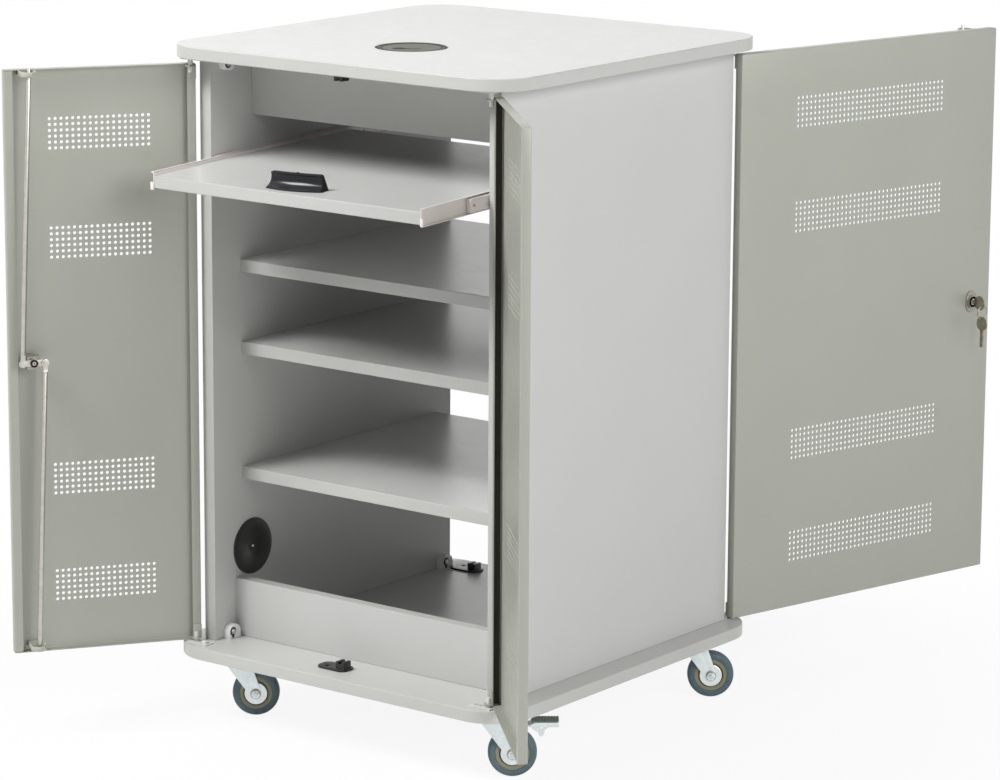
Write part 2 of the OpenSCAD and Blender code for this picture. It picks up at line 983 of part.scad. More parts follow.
// Folded sheet door: a face with vents, four edges and two upright lips
module door_tray(w, d, columns) {
    translate([0, 0, door_z]) {
        plate_y(0, sheet)
            difference() {
                square([w, door_h]);
                vents(columns, w / 2);
                children();
            }
        for (s = [0, w - sheet])
            translate([s, 0, 0])
                cube([sheet, d, door_h]);
        for (s = [0, w - lip_w])
            translate([s, d - sheet, 0])
                cube([lip_w, sheet, door_h]);
        for (z = [0, door_h - sheet])
            translate([0, 0, z])
                cube([w, d, sheet]);
    }
}

module left_door() {
    color("darkgray")
        at_left_door()
            door_tray(front_door_w, front_door_d, front_vent_columns)
                translate([front_lock_s, front_lock_h - foot_gap])
                    circle(barrel_r + snug);
}

module right_door() {
    color("darkgray")
        at_right_door()
            door_tray(front_door_w, front_door_d, front_vent_columns);
}

module rear_door() {
    color("darkgray")
        at_rear_door()
            door_tray(rear_door_w, rear_door_d, rear_vent_columns)
                translate([rear_lock_s, rear_lock_h - foot_gap])
                    circle(barrel_r + snug);
}

// Angle bracket on the lip with the eye that turns on a pivot pin
module pivot_bracket(pivot_s, pivot_n, d) {
    linear_extrude(tab_t)
        difference() {
            union() {
                translate([max(0, pivot_s - tab_r), d])
                    square([min(2 * tab_r, pivot_s + tab_r), pivot_n - d]);
                translate([pivot_s, pivot_n])
                    circle(tab_r);
            }
            translate([pivot_s, pivot_n])
                circle(pivot_d / 2 + running);
            translate([pivot_s - 2 * tab_r, d - 2 * tab_r])
                square([4 * tab_r, 2 * tab_r]);
        }
    translate([0, d, 0])
        cube([lip_w, leaf_t, leaf_h]);
}

module door_pivots(pivot_s, pivot_n, d) {
    translate([0, 0, door_z + pivot_lift + tab_play])
        pivot_bracket(pivot_s, pivot_n, d);
    translate([0, 0, door_z + door_h - pivot_lift - tab_play])
        mirror([0, 0, 1])
            pivot_bracket(pivot_s, pivot_n, d);
}

module left_door_pivots() {
    color("lightgray")
        at_left_door()
            door_pivots(front_pivot_s, front_pivot_n, front_door_d);
}

module right_door_pivots() {
    color("lightgray")
        at_right_door()
            door_pivots(front_pivot_s, front_pivot_n, front_door_d);
}

module rear_door_pivots() {
    color("lightgray")
        at_rear_door()
            door_pivots(rear_pivot_s, rear_pivot_n, rear_door_d);
}

// Lock on the door's face, with a bore for its core
module lock_body() {
    difference() {
        union() {
            plate_y(-2, 2) {
                square([24, 12], center = true);
                for (z = [-6, 6])
                    translate([0, z])
                        circle(12);
            }
            rod_y(-nose_out, 0, 11);
            rod_y(0, cam_n - 1, barrel_r);
            translate([-lock_case_w / 2, lock_case_n, -lock_case_w / 2])
                cube([lock_case_w, cam_n - 1 - lock_case_n, lock_case_w]);
        }
        rod_y(-nose_out - 1, cam_n, core_r + running);
    }
}

// Core of the lock with the two-armed cam and the pins of the rods
module lock_cam() {
    difference() {
        union() {
            rod_y(-nose_out + 0.4, eye_n + eye_t, core_r);
            plate_y(cam_n, cam_t) {
                square([2 * throw, 10], center = true);
                circle(hub_r);
                for (s = [-throw, throw])
                    translate([s, 0])
                        circle(5);
            }
            rod_y(cam_n - cam_play, cam_n + cam_t + 1.5, hub_r);
            for (s = [-throw, throw])
                translate([s, 0, 0]) {
                    rod_y(cam_n, eye_n + eye_t + 1, pin_r);
                    rod_y(eye_n + eye_t + 0.3, eye_n + eye_t + 1.3, pin_r + 1.1);
                }
        }
        translate([-key_t / 2 - 0.1, -nose_out - 1, -key_blade_w / 2 - 0.1])
            cube([key_t + 0.2, 15.2, key_blade_w + 0.2]);
    }
}

// A locking rod that points up from its pin, up to the given height of the tip
module locking_rod(reach) {
    difference() {
        union() {
            plate_y(eye_n, eye_t) {
                circle(eye_r);
                translate([-rod_d / 2, 0])
                    square([rod_d, eye_l]);
            }
            translate([0, rod_n, rod_start])
                cylinder(h = reach - rod_tip_l - rod_start, r = rod_d / 2);
            translate([0, rod_n, rod_start])
                cylinder(h = reach - rod_start, r = rod_tip_d / 2);
        }
        rod_y(eye_n - 1, eye_n + eye_t + 1, pin_r + running);
        rod_y(eye_n + eye_t, eye_n + eye_t + 5, eye_r);
    }
}

// Rods of one lock: the arm turns with the lock and the rod leans back to its guide
module upper_rod(s, h, turn) {
    reach = door_h + foot_gap - h + rod_tip_out;
    translate([s + throw * cos(turn), 0, base_top + h + throw * sin(turn)])
        rotate([0, -rod_slope * cos(turn), 0])
            locking_rod(reach);
}

module lower_rod(s, h, turn) {
    reach = h - foot_gap - guide_foot - 1;
    translate([s - throw * cos(turn), 0, base_top + h - throw * sin(turn)])
        rotate([0, -rod_slope * cos(turn), 0])
            mirror([0, 0, 1])
                locking_rod(reach);
}

// Bent strap that keeps a rod's end beside the door
module rod_guide(s) {
    arch_r = guide_w / 2;
    translate([s, 0, 0])
        linear_extrude(guide_h)
            difference() {
                union() {
                    translate([-arch_r, sheet])
                        square([guide_w, guide_n - arch_r - sheet]);
                    translate([0, guide_n - arch_r])
                        circle(arch_r);
                    translate([-arch_r - 1, sheet])
                        square([guide_w + 2, guide_t]);
                }
                translate([-arch_r + guide_t, sheet + guide_t])
                    square([guide_w - 2 * guide_t, guide_n - arch_r - sheet - guide_t]);
                translate([0, guide_n - arch_r])
                    circle(arch_r - guide_t);
            }
}

module rod_guides(s) {
    translate([0, 0, door_z + guide_foot])
        rod_guide(s);
    translate([0, 0, door_z + door_h - sheet - guide_h])
        rod_guide(s);
}

module front_lock_body() {
    color("dimgray")
        at_left_door()
            translate([front_lock_s, 0, base_top + front_lock_h])
                lock_body();
}

module front_lock_cam() {
    color("silver")
        at_left_door()
            translate([front_lock_s, 0, base_top + front_lock_h])
                rotate([0, -front_lock_turn, 0])
                    lock_cam();
}

module front_upper_rod() {
    color("silver")
        at_left_door()
            upper_rod(front_lock_s, front_lock_h, front_lock_turn);
}

module front_lower_rod() {
    color("silver")
        at_left_door()
            lower_rod(front_lock_s, front_lock_h, front_lock_turn);
}

module front_rod_guides() {
    color("beige")
        at_left_door()
            rod_guides(front_lock_s);
}

module rear_lock_body() {
    color("silver")
        at_rear_door()
            translate([rear_lock_s, 0, base_top + rear_lock_h])
                lock_body();
}

module rear_lock_cam() {
    color("silver")
        at_rear_door()
            translate([rear_lock_s, 0, base_top + rear_lock_h])
                rotate([0, -rear_lock_turn, 0])
                    lock_cam();
}

module rear_upper_rod() {
    color("silver")
        at_rear_door()
            upper_rod(rear_lock_s, rear_lock_h, rear_lock_turn);
}

module rear_lower_rod() {
    color("silver")
        at_rear_door()
            lower_rod(rear_lock_s, rear_lock_h, rear_lock_turn);
}

module rear_rod_guides() {
    color("beige")
        at_rear_door()
            rod_guides(rear_lock_s);
}

// Places of the key and what hangs from it, turning with the rear lock
module at_rear_key() {
    at_rear_door()
        translate([rear_lock_s, 0, base_top + rear_lock_h])
            rotate([0, -rear_lock_turn, 0])
                children();
}

// A flat key in the plane across X, its bow around the given point in Y and Z
module key_bow(y, z, hole_y, hole_z) {
    translate([-key_t / 2, 0, 0])
        difference() {
            translate([0, y, z])
                rod_x(0, key_t, bow_r);
            translate([0, hole_y, hole_z])
                rod_x(-1, key_t + 1, key_hole_r);
        }
}

module rear_key() {
    color("silver")
        at_rear_key() {
            key_bow(bow_n, 0, key_hole_n, key_hole_z);
            translate([-key_t / 2, bow_n + bow_r - 1, -key_blade_w / 2])
                cube([key_t, 4 + key_blade_l, key_blade_w]);
        }
}

module key_ring() {
    color("silver")
        at_rear_key()
            translate([0, key_hole_n, key_hole_z - ring_r])
                rotate([90, 0, 0])
                    rotate_extrude($fn = 48)
                        translate([ring_r, 0])
                            circle(ring_wire_r, $fn = 16);
}

module spare_key() {
    hole_z = key_hole_z - 2 * ring_r;
    color("silver")
        at_rear_key() {
            key_bow(key_hole_n, hole_z - spare_bow_drop, key_hole_n, hole_z);
            translate([-key_t / 2, key_hole_n - key_blade_w / 2, hole_z - spare_bow_drop - bow_r - spare_blade_l + 2])
                cube([key_t, key_blade_w, spare_blade_l]);
        }
}

base_board();
top_board();
left_side_panel();
right_side_panel();
upper_cross_panel();
lower_cross_panel();
fixed_shelf(upper_shelf_h);  // upper_shelf
fixed_shelf(middle_shelf_h);  // middle_shelf
fixed_shelf(lower_shelf_h);  // lower_shelf
dowels();
fixing_blocks();
screws();
runner_cabinet_members();
pivot_plates();
door_strikes();
grommet_ring();
grommet_cap();
side_port_cover();
castor_plates();
pullout_shelf();
runner_shelf_members();
shelf_pull();
runner_middle_members();
left_door();
left_door_pivots();
front_lock_body();
front_rod_guides();
front_lock_cam();
front_upper_rod();
front_lower_rod();
right_door();
right_door_pivots();
rear_door();
rear_door_pivots();
rear_lock_body();
rear_rod_guides();
rear_lock_cam();
rear_key();
rear_upper_rod();
rear_lower_rod();
key_ring();
spare_key();
fork(castor_sides[0]);  // front_left_fork
axle(castor_sides[0]);  // front_left_axle
rim(castor_sides[0]);  // front_left_rim
tyre(castor_sides[0]);  // front_left_tyre
fork(castor_sides[1]);  // front_right_fork
axle(castor_sides[1]);  // front_right_axle
rim(castor_sides[1]);  // front_right_rim
tyre(castor_sides[1]);  // front_right_tyre
fork(castor_sides[2]);  // rear_left_fork
axle(castor_sides[2]);  // rear_left_axle
rim(castor_sides[2]);  // rear_left_rim
tyre(castor_sides[2]);  // rear_left_tyre
fork(castor_sides[3]);  // rear_right_fork
axle(castor_sides[3]);  // rear_right_axle
rim(castor_sides[3]);  // rear_right_rim
tyre(castor_sides[3]);  // rear_right_tyre
brake_pedal(castor_sides[1]);  // front_right_brake_pedal
brake_pedal(castor_sides[2]);  // rear_left_brake_pedal
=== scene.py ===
import json
import math

import bpy
import bmesh
from mathutils import Matrix, Vector
from mathutils.geometry import tessellate_polygon

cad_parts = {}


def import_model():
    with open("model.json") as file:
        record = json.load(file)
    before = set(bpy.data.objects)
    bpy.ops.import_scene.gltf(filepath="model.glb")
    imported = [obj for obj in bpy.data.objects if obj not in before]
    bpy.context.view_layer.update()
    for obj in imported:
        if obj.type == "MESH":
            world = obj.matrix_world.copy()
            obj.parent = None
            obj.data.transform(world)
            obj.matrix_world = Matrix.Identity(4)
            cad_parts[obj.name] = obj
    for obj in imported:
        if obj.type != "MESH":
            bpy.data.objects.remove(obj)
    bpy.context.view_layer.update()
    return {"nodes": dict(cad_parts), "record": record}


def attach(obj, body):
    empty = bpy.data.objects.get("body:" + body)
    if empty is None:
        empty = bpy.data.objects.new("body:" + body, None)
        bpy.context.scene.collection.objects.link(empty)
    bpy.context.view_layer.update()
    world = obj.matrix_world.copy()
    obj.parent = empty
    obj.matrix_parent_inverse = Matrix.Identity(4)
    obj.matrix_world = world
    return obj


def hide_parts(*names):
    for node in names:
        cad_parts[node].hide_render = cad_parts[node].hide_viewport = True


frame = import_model()
BODY = {node: body for body, nodes in frame["record"]["behaviour"]["bodies"].items() for node in nodes}
SLOT = {part["node"]: part["material_slot"] for part in frame["record"]["subparts"]}
MM = 0.001

# Main sizes in millimetres, the same as in the CAD

BOARD_W, BOARD_D, BOARD_T, BOARD_R = 670, 690, 20, 70
BASE_UNDER, INNER_H = 105, 932
BASE_TOP = BASE_UNDER + BOARD_T
TOP_UNDER = BASE_TOP + INNER_H
TOP_Z = TOP_UNDER + BOARD_T
PANEL_OUT, PANEL_T = 293, 22
PANEL_IN = PANEL_OUT - PANEL_T
PANEL_FRONT, PANEL_REAR = 48 - BOARD_D / 2, BOARD_D / 2 - 38
CROSS_T = 20
UPPER_CROSS_Y, UPPER_CROSS_Z = PANEL_FRONT + 97, TOP_UNDER - 100
LOWER_CROSS_Y, LOWER_CROSS_TOP = PANEL_FRONT + 49, BASE_TOP + 93
SHELF_FRONT, SHELF_REAR, SHELF_T = PANEL_FRONT + 67, PANEL_REAR - 37, 20
SHELF_TOPS = {"lower": BASE_TOP + 272, "middle": BASE_TOP + 474, "upper": BASE_TOP + 605.5}
BLOCK_FACE, BLOCK_SCREW_Y = PANEL_IN - 14, (PANEL_FRONT + 26, PANEL_REAR - 29)

# The pull-out shelf and its runners; heights are from the shelf's upper face
RUNNER_W, RUNNER_SHEET, RUNNER_CHANNEL, RUNNER_START = 12.7, 1.2, 5.7, 3
PULL_HALF, PULL_D, PULL_T = PANEL_IN - RUNNER_W, 470, 19.5
PULL_PLACE, PULL_TILT, PULL_OUT = (0, 52 - BOARD_D / 2, BASE_TOP + 772), 2, 150
RUNNER_LOW, RUNNER_HIGH = -PULL_T - 2.3, 5.5

# Cable ports
GROMMET, GROMMET_R = (-9, -128), 50
PORT_Y, PORT_Z, PORT_R = PANEL_FRONT + 90, BASE_TOP + 137.5, 40

# Doors: width, depth and columns of vent holes. The vents' heights are from the base board.
DOOR_Z = BASE_TOP + 3
DOOR_H = TOP_UNDER - 10 - DOOR_Z
FRONT_DOOR, REAR_DOOR = (300, 14.5, 18), (565, 16, 36)
DOOR_SHEET, LIP = 1.2, 14
VENTS, VENT_ROWS, VENT_PITCH, VENT_R = (105, 276, 650, 820), 6, 9.13, 2.5
FRONT_PIVOT, FRONT_PIN = (291.5, 25 - BOARD_D / 2), (-10, -20)
REAR_PIVOT, REAR_PIN = (283.5, BOARD_D / 2 - 30.1), (0, -25.1)
LEFT_OPEN, RIGHT_OPEN, REAR_OPEN = 124.95, 134.65, 104.25
# Locks: distance from the door's hinge edge, and height above the floor
FRONT_LOCK, REAR_LOCK = (FRONT_DOOR[0] - 35, BASE_TOP + 469), (REAR_DOOR[0] - 42.5, BASE_TOP + 465)

CASTORS = {"front_left": (-1, -1), "front_right": (1, -1), "rear_left": (-1, 1), "rear_right": (1, 1)}
CASTOR_X, CASTOR_Y, CASTOR_TURN = 256, 266, 37.4
TRAIL, AXLE_Z = 32, 37.5


def rot(axis, degrees):
    return Matrix.Rotation(math.radians(degrees), 4, axis)


def shift(x, y, z):
    return Matrix.Translation((x * MM, y * MM, z * MM))


def slide(out):
    """The frame of the pull-out shelf, drawn out by this much."""
    return shift(*PULL_PLACE) @ rot("X", PULL_TILT) @ shift(0, -out, 0)


def castor(side):
    """The frame of a castor, with X along its trail."""
    return shift(side[0] * CASTOR_X, side[1] * CASTOR_Y, 0) @ rot("Z", CASTOR_TURN)


# Frames of the doors: X from the hinge edge, Y from the outer face inward, Z up from the floor
MIRROR_X = Matrix.Diagonal((-1, 1, 1, 1))
LEFT = shift(-FRONT_PIVOT[0], FRONT_PIVOT[1], 0) @ rot("Z", -LEFT_OPEN) @ shift(*FRONT_PIN, 0)
RIGHT = shift(*FRONT_PIVOT, 0) @ rot("Z", RIGHT_OPEN) @ MIRROR_X @ shift(*FRONT_PIN, 0)
REAR = shift(*REAR_PIVOT, 0) @ rot("Z", 180 - REAR_OPEN) @ shift(*REAR_PIN, 0)
# Extrusions along X and along Y: the drawing's X and Y become Y and Z, or X and Z
ALONG_X = Matrix(((0, 0, 1, 0), (1, 0, 0, 0), (0, 1, 0, 0), (0, 0, 0, 1)))
ALONG_Y = Matrix(((1, 0, 0, 0), (0, 0, -1, 0), (0, 1, 0, 0), (0, 0, 0, 1)))


# Materials

LOOKS = {}


def linear(rgb):
    """A screen colour of 0 to 255 as linear light, with its alpha."""
    out = []
    for c in rgb:
        c = c / 255
        out.append(c / 12.92 if c <= 0.04045 else ((c + 0.055) / 1.055) ** 2.4)
    return out + [1]


class Look:
    """A node material, built up from noise on the object's own coordinates and kept in LOOKS."""

    def __init__(self, name, metallic=0.0, roughness=0.5, specular=0.5, coat=0.0):
        material = bpy.data.materials.new(name)
        material.use_nodes = True
        LOOKS[name] = material
        self.t = material.node_tree
        self.p = self.t.nodes["Principled BSDF"]
        self.p.inputs["Metallic"].default_value = metallic
        self.p.inputs["Roughness"].default_value = roughness
        self.p.inputs["Specular IOR Level"].default_value = specular
        self.p.inputs["Coat Weight"].default_value = coat
        self.p.inputs["Coat Roughness"].default_value = 0.1
        self.where = self.t.nodes.new("ShaderNodeTexCoord").outputs["Object"]
        self.normal = None

    def link(self, a, b):
        self.t.links.new(a, b)

    def stretched(self, scale):
        mapping = self.t.nodes.new("ShaderNodeMapping")
        mapping.inputs["Scale"].default_value = scale
        self.link(self.where, mapping.inputs["Vector"])
        return mapping.outputs["Vector"]

    def noise(self, scale, detail=3, rough=0.55, stretch=None):
        n = self.t.nodes.new("ShaderNodeTexNoise")
        n.inputs["Scale"].default_value = scale
        n.inputs["Detail"].default_value = detail
        n.inputs["Roughness"].default_value = rough
        self.link(self.stretched(stretch) if stretch else self.where, n.inputs["Vector"])
        return n.outputs["Fac"]

    def cells(self, scale):
        n = self.t.nodes.new("ShaderNodeTexVoronoi")
        n.inputs["Scale"].default_value = scale
        self.link(self.where, n.inputs["Vector"])
        return n.outputs["Color"]

    def ramp(self, factor, stops):
        n = self.t.nodes.new("ShaderNodeValToRGB")
        for item, (at, colour) in zip(n.color_ramp.elements, stops):
            item.position = at
            item.color = colour
        self.link(factor, n.inputs["Fac"])
        return n.outputs["Color"]

    def mix(self, factor, a, b, blend="MIX"):
        n = self.t.nodes.new("ShaderNodeMix")
        n.data_type = "RGBA"
        n.blend_type = blend
        n.inputs[0].default_value = factor
        self.link(a, n.inputs[6])
        self.link(b, n.inputs[7])
        return n.outputs[2]

    def colour(self, value):
        self.link(value, self.p.inputs["Base Color"])

    def mottle(self, rgb, fine, fine_amount, coarse, coarse_amount):
        """The colour with a fine grain and slow clouds over it."""
        low = [c * (1 - fine_amount) for c in rgb[:3]] + [1]
        high = [min(1, c * (1 + fine_amount)) for c in rgb[:3]] + [1]
        grain = self.ramp(self.noise(fine, 4, 0.6), [(0.3, low), (0.7, high)])
        dark = [(1 - coarse_amount) / (1 + coarse_amount)] * 3 + [1]
        cloud = self.ramp(self.noise(coarse, 3, 0.5), [(0.25, dark), (0.75, [1, 1, 1, 1])])
        return self.mix(1.0, grain, cloud, "MULTIPLY")

    def rough(self, low, high, scale, detail=3):
        """Roughness that wanders between two values."""
        n = self.t.nodes.new("ShaderNodeMapRange")
        n.inputs["From Min"].default_value = 0.3
        n.inputs["From Max"].default_value = 0.7
        n.inputs["To Min"].default_value = low
        n.inputs["To Max"].default_value = high
        self.link(self.noise(scale, detail, 0.6), n.inputs["Value"])
        self.link(n.outputs["Result"], self.p.inputs["Roughness"])

    def bump(self, height, strength, distance):
        """A bump of the surface, on top of the bumps that it has."""
        n = self.t.nodes.new("ShaderNodeBump")
        n.inputs["Strength"].default_value = strength
        n.inputs["Distance"].default_value = distance
        self.link(height, n.inputs["Height"])
        if self.normal is not None:
            self.link(self.normal, n.inputs["Normal"])
        self.normal = n.outputs["Normal"]
        self.link(self.normal, self.p.inputs["Normal"])


def laminate(name, rgb):
    k = Look(name, roughness=0.34, specular=0.38)
    k.colour(k.mottle(linear(rgb), 420, 0.015, 7, 0.012))
    k.rough(0.31, 0.38, 60)
    k.bump(k.noise(260, 2, 0.4), 0.04, 0.0001)
    k.bump(k.noise(35, 2), 0.05, 0.0006)


def edge_band(name, rgb):
    k = Look(name, roughness=0.4)
    k.colour(k.mottle(linear(rgb), 900, 0.03, 12, 0.02))
    k.rough(0.34, 0.46, 90)
    k.bump(k.noise(500, 2, 0.5, (1, 1, 6)), 0.15, 0.0001)


def door_paint(name, rgb):
    k = Look(name, metallic=0.25, roughness=0.42)
    k.colour(k.mottle(linear(rgb), 2200, 0.05, 5, 0.02))
    k.rough(0.36, 0.46, 40)
    k.bump(k.noise(1100, 3, 0.6), 0.22, 0.0001)
    k.bump(k.noise(160, 2, 0.4), 0.05, 0.0002)


def zinc(name, rgb, low=0.24, high=0.42, dull=0.88):
    """Plated metal; dull is how dark the darkest spangles get."""
    k = Look(name, metallic=1.0, roughness=0.3)
    spangle = k.ramp(k.cells(190), [(0.2, [dull, dull, dull + 0.01, 1]), (0.8, [1, 1, 1, 1])])
    k.colour(k.mix(1.0, k.mottle(linear(rgb), 700, 0.04, 60, 0.04), spangle, "MULTIPLY"))
    k.rough(low, high, 320, 4)
    k.bump(k.noise(900, 3, 0.6, (1, 1, 5)), 0.10, 0.0001)


def plastic(name, rgb, low, high, grain=900, depth=0.15, specular=0.5, coat=0.0, amount=0.05):
    """Moulded plastic with roughness from low to high and a grain of its own depth and colour."""
    k = Look(name, roughness=low, specular=specular, coat=coat)
    k.colour(k.mottle(linear(rgb), grain, amount, 40, amount / 2))
    k.rough(low, high, 180)
    k.bump(k.noise(grain, 3, 0.6), depth, 0.0001)


def rubber(name, rgb):
    k = Look(name, roughness=0.6, specular=0.35)
    paler = linear([min(255, c + 18) for c in rgb])
    worn = k.ramp(k.noise(120, 4, 0.65), [(0.35, linear(rgb)), (0.75, paler)])
    k.colour(k.mix(0.35, worn, k.mottle(linear(rgb), 1500, 0.10, 45, 0.06)))
    k.rough(0.5, 0.72, 140)
    k.bump(k.noise(1200, 3), 0.2, 0.0001)


def beech(name):
    k = Look(name, roughness=0.55, specular=0.3)
    grain = k.noise(60, 5, 0.6, (0.3, 6, 6))
    k.colour(k.ramp(grain, [(0.3, linear((196, 158, 112))), (0.7, linear((222, 188, 142)))]))
    k.bump(grain, 0.2, 0.0001)


def steel_paint(name, rgb):
    k = Look(name, roughness=0.35, coat=0.15)
    k.colour(k.mottle(linear(rgb), 1300, 0.03, 20, 0.02))
    k.rough(0.30, 0.42, 70)
    k.bump(k.noise(420, 2, 0.5), 0.12, 0.0001)


laminate("laminate", (208, 208, 206))
edge_band("laminate_edge", (203, 204, 199))
door_paint("door_paint", (176, 178, 168))
steel_paint("runner_paint", (244, 236, 235))
zinc("zinc", (214, 216, 218))
zinc("zinc_bright", (226, 233, 233), 0.34, 0.5, 0.93)
zinc("rod_steel", (206, 204, 195), 0.30, 0.44, 0.9)
plastic("black_gloss", (20, 21, 24), 0.16, 0.24, 700, 0.05, 0.34, 0.1)
plastic("black_plastic", (34, 33, 32), 0.32, 0.46, 1100)
# Black painted shade, under the grommet cap and round the rear keyhole
plastic("black_painted_shade", (16, 15, 14), 0.7, 0.85, 500, 0.1, 0.1)
# Painted shade for the inside of the front doors' hinge edges
plastic("channel_painted_shade", (66, 62, 56), 0.6, 0.75, 500, 0.1, 0.2)
# Painted shade for holes, the cap's slot and the cam hubs
plastic("gap_painted_shade", (38, 36, 33), 0.6, 0.8, 500, 0.1, 0.2)
plastic("grey_ring", (46, 46, 43), 0.45, 0.55, 1000, 0.12, 0.12)
plastic("grey_cap", (112, 111, 104), 0.5, 0.62, 420, 0.25, 0.15, amount=0.14)
plastic("plate_paint", (226, 226, 221), 0.4, 0.55, 900, 0.1, 0.4)
plastic("white_plastic", (246, 247, 246), 0.35, 0.48, 900, 0.1)
beech("beech")
rubber("tyre_grey", (88, 108, 116))
plastic("rim_khaki", (146, 143, 118), 0.4, 0.55, 800, 0.2, 0.45, amount=0.07)
steel_paint("guide_grey", (186, 186, 174))
zinc("lock_steel", (164, 161, 150), 0.3, 0.46, 0.9)
zinc("key_metal", (178, 171, 152), 0.26, 0.42, 0.7)
plastic("pedal_dark", (118, 127, 118), 0.45, 0.6, 900, 0.2)
# A board's faces, and its edges
BAND = ("laminate", "laminate_edge")


# Mesh makers. Drawings are in millimetres.


def placed(name, data):
    obj = bpy.data.objects.new(name, data)
    bpy.context.scene.collection.objects.link(obj)
    return obj


def baked(obj):
    """The mesh of an object with its modifiers applied."""
    bpy.context.view_layer.update()
    return bpy.data.meshes.new_from_object(obj.evaluated_get(bpy.context.evaluated_depsgraph_get()))


def closed_mesh(name, verts, faces, weld=False, front=None):
    """A mesh with its normals outward, or with those of its largest face to the front."""
    mesh = bpy.data.meshes.new(name)
    mesh.from_pydata(verts, [], faces)
    bm = bmesh.new()
    bm.from_mesh(mesh)
    if weld:
        bmesh.ops.remove_doubles(bm, verts=bm.verts, dist=1e-7)
    bmesh.ops.recalc_face_normals(bm, faces=bm.faces)
    if front and max(bm.faces, key=lambda f: f.calc_area()).normal.dot(Vector(front)) < 0:
        bmesh.ops.reverse_faces(bm, faces=bm.faces)
    bm.to_mesh(mesh)
    bm.free()
    return mesh


def finished(name, mesh, looks, matrix, smooth=30):
    """The object of a mesh, in its place, with its looks and smooth up to an angle."""
    mesh.transform(matrix)
    if matrix.determinant() < 0:
        mesh.flip_normals()
    mesh.validate()
    mesh.shade_smooth()
    mesh.set_sharp_from_angle(angle=math.radians(smooth))
    for look in looks:
        mesh.materials.append(LOOKS[look])
    return placed(name, mesh)


def circle(x, y, r, n):
    turns = [2 * math.pi * i / n for i in range(n)]
    return [(x + r * math.cos(a), y + r * math.sin(a)) for a in turns]


def rrect(w, h, r, n=4, x=0.0, y=0.0):
    """A rectangle with rounded corners about a middle point, counterclockwise."""
    out = []
    for cx, cy, a in ((w / 2 - r, h / 2 - r, 0), (r - w / 2, h / 2 - r, 90),
                      (r - w / 2, r - h / 2, 180), (w / 2 - r, r - h / 2, 270)):
        for i in range(n + 1):
            t = math.radians(a + 90 * i / n)
            out.append((x + cx + r * math.cos(t), y + cy + r * math.sin(t)))
    return out


def inset(points, d):
    """Moves a closed outline to its left by d, with mitred corners."""
    out = []
    count = len(points)
    for i, p in enumerate(points):
        a, b = points[i - 1], points[(i + 1) % count]
        e1 = Vector((p[0] - a[0], p[1] - a[1])).normalized()
        e2 = Vector((b[0] - p[0], b[1] - p[1])).normalized()
        n1, n2 = Vector((-e1.y, e1.x)), Vector((-e2.y, e2.x))
        k = max(0.2, 1 + n1.dot(n2))
        out.append((p[0] + (n1.x + n2.x) * d / k, p[1] + (n1.y + n2.y) * d / k))
    return out


def flat(name, outline, z0, z1, looks, matrix, holes=(), bevel=0.6, steps=2):
    """A plate of an outline with holes, with rounded rims. Its walls take the last look."""
    loops = [list(outline)] + [list(reversed(h)) for h in holes]
    bevel = min(bevel, (z1 - z0) / 2.2)
    levels = []
    for i in range(steps + 1):
        a = math.pi / 2 * i / steps
        levels.append((bevel * (1 - math.sin(a)), z0 + bevel * (1 - math.cos(a))))
    levels += [(d, z0 + z1 - z) for d, z in reversed(levels)]
    last = len(levels) - 1
    verts, faces, index, sharp = [], [], [], set()
    caps = {0: [], last: []}
    for loop in loops:
        n = len(loop)
        rings = []
        for k, (d, z) in enumerate(levels):
            start = len(verts)
            pts = inset(loop, d) if d > 1e-9 else loop
            verts += [(x * MM, y * MM, z * MM) for x, y in pts]
            rings.append(range(start, start + n))
            if k in caps:
                caps[k].append(([Vector((x, y, 0)) for x, y in pts], start))
        for k in range(last):
            for i in range(n):
                j = (i + 1) % n
                faces.append((rings[k][i], rings[k][j], rings[k + 1][j], rings[k + 1][i]))
                index.append(len(looks) - 1)
        for k in (0, steps, steps + 1, last):
            sharp |= {tuple(sorted((rings[k][i], rings[k][(i + 1) % n]))) for i in range(n)}
    for k, parts in caps.items():
        offsets = [start + i for pts, start in parts for i in range(len(pts))]
        for tri in tessellate_polygon([pts for pts, start in parts]):
            a, b, c = (offsets[i] for i in tri)
            va, vb, vc = (Vector(verts[i]) for i in (a, b, c))
            up = (vb - va).cross(vc - va).z > 0
            if up != (k != 0):
                b, c = c, b
            faces.append((a, b, c))
            index.append(0)
    mesh = bpy.data.meshes.new(name)
    mesh.from_pydata(verts, [], faces)
    obj = finished(name, mesh, looks, matrix)
    for polygon, i in zip(mesh.polygons, index):
        polygon.material_index = i
    flags = mesh.attributes.get("sharp_edge") or mesh.attributes.new("sharp_edge", "BOOLEAN", "EDGE")
    for i, e in enumerate(mesh.edges):
        if tuple(sorted(e.vertices)) in sharp:
            flags.data[i].value = True
    return obj


def slab(name, x0, x1, y0, y1, z0, z1, axis="Z", holes=(), bevel=1.0, looks=BAND, matrix=Matrix()):
    """A box from its ranges, drawn across one axis, so that the four faces along it are its edges."""
    if axis == "X":
        w, h, x, y, low, high, turn = y1 - y0, z1 - z0, (y0 + y1) / 2, (z0 + z1) / 2, x0, x1, ALONG_X
    elif axis == "Y":
        w, h, x, y, low, high, turn = x1 - x0, z1 - z0, (x0 + x1) / 2, (z0 + z1) / 2, -y1, -y0, ALONG_Y
    else:
        w, h, x, y, low, high, turn = x1 - x0, y1 - y0, (x0 + x1) / 2, (y0 + y1) / 2, z0, z1, Matrix()
    return flat(name, rrect(w, h, 0.8, 2, x, y), low, high, looks, matrix @ turn, holes, bevel)


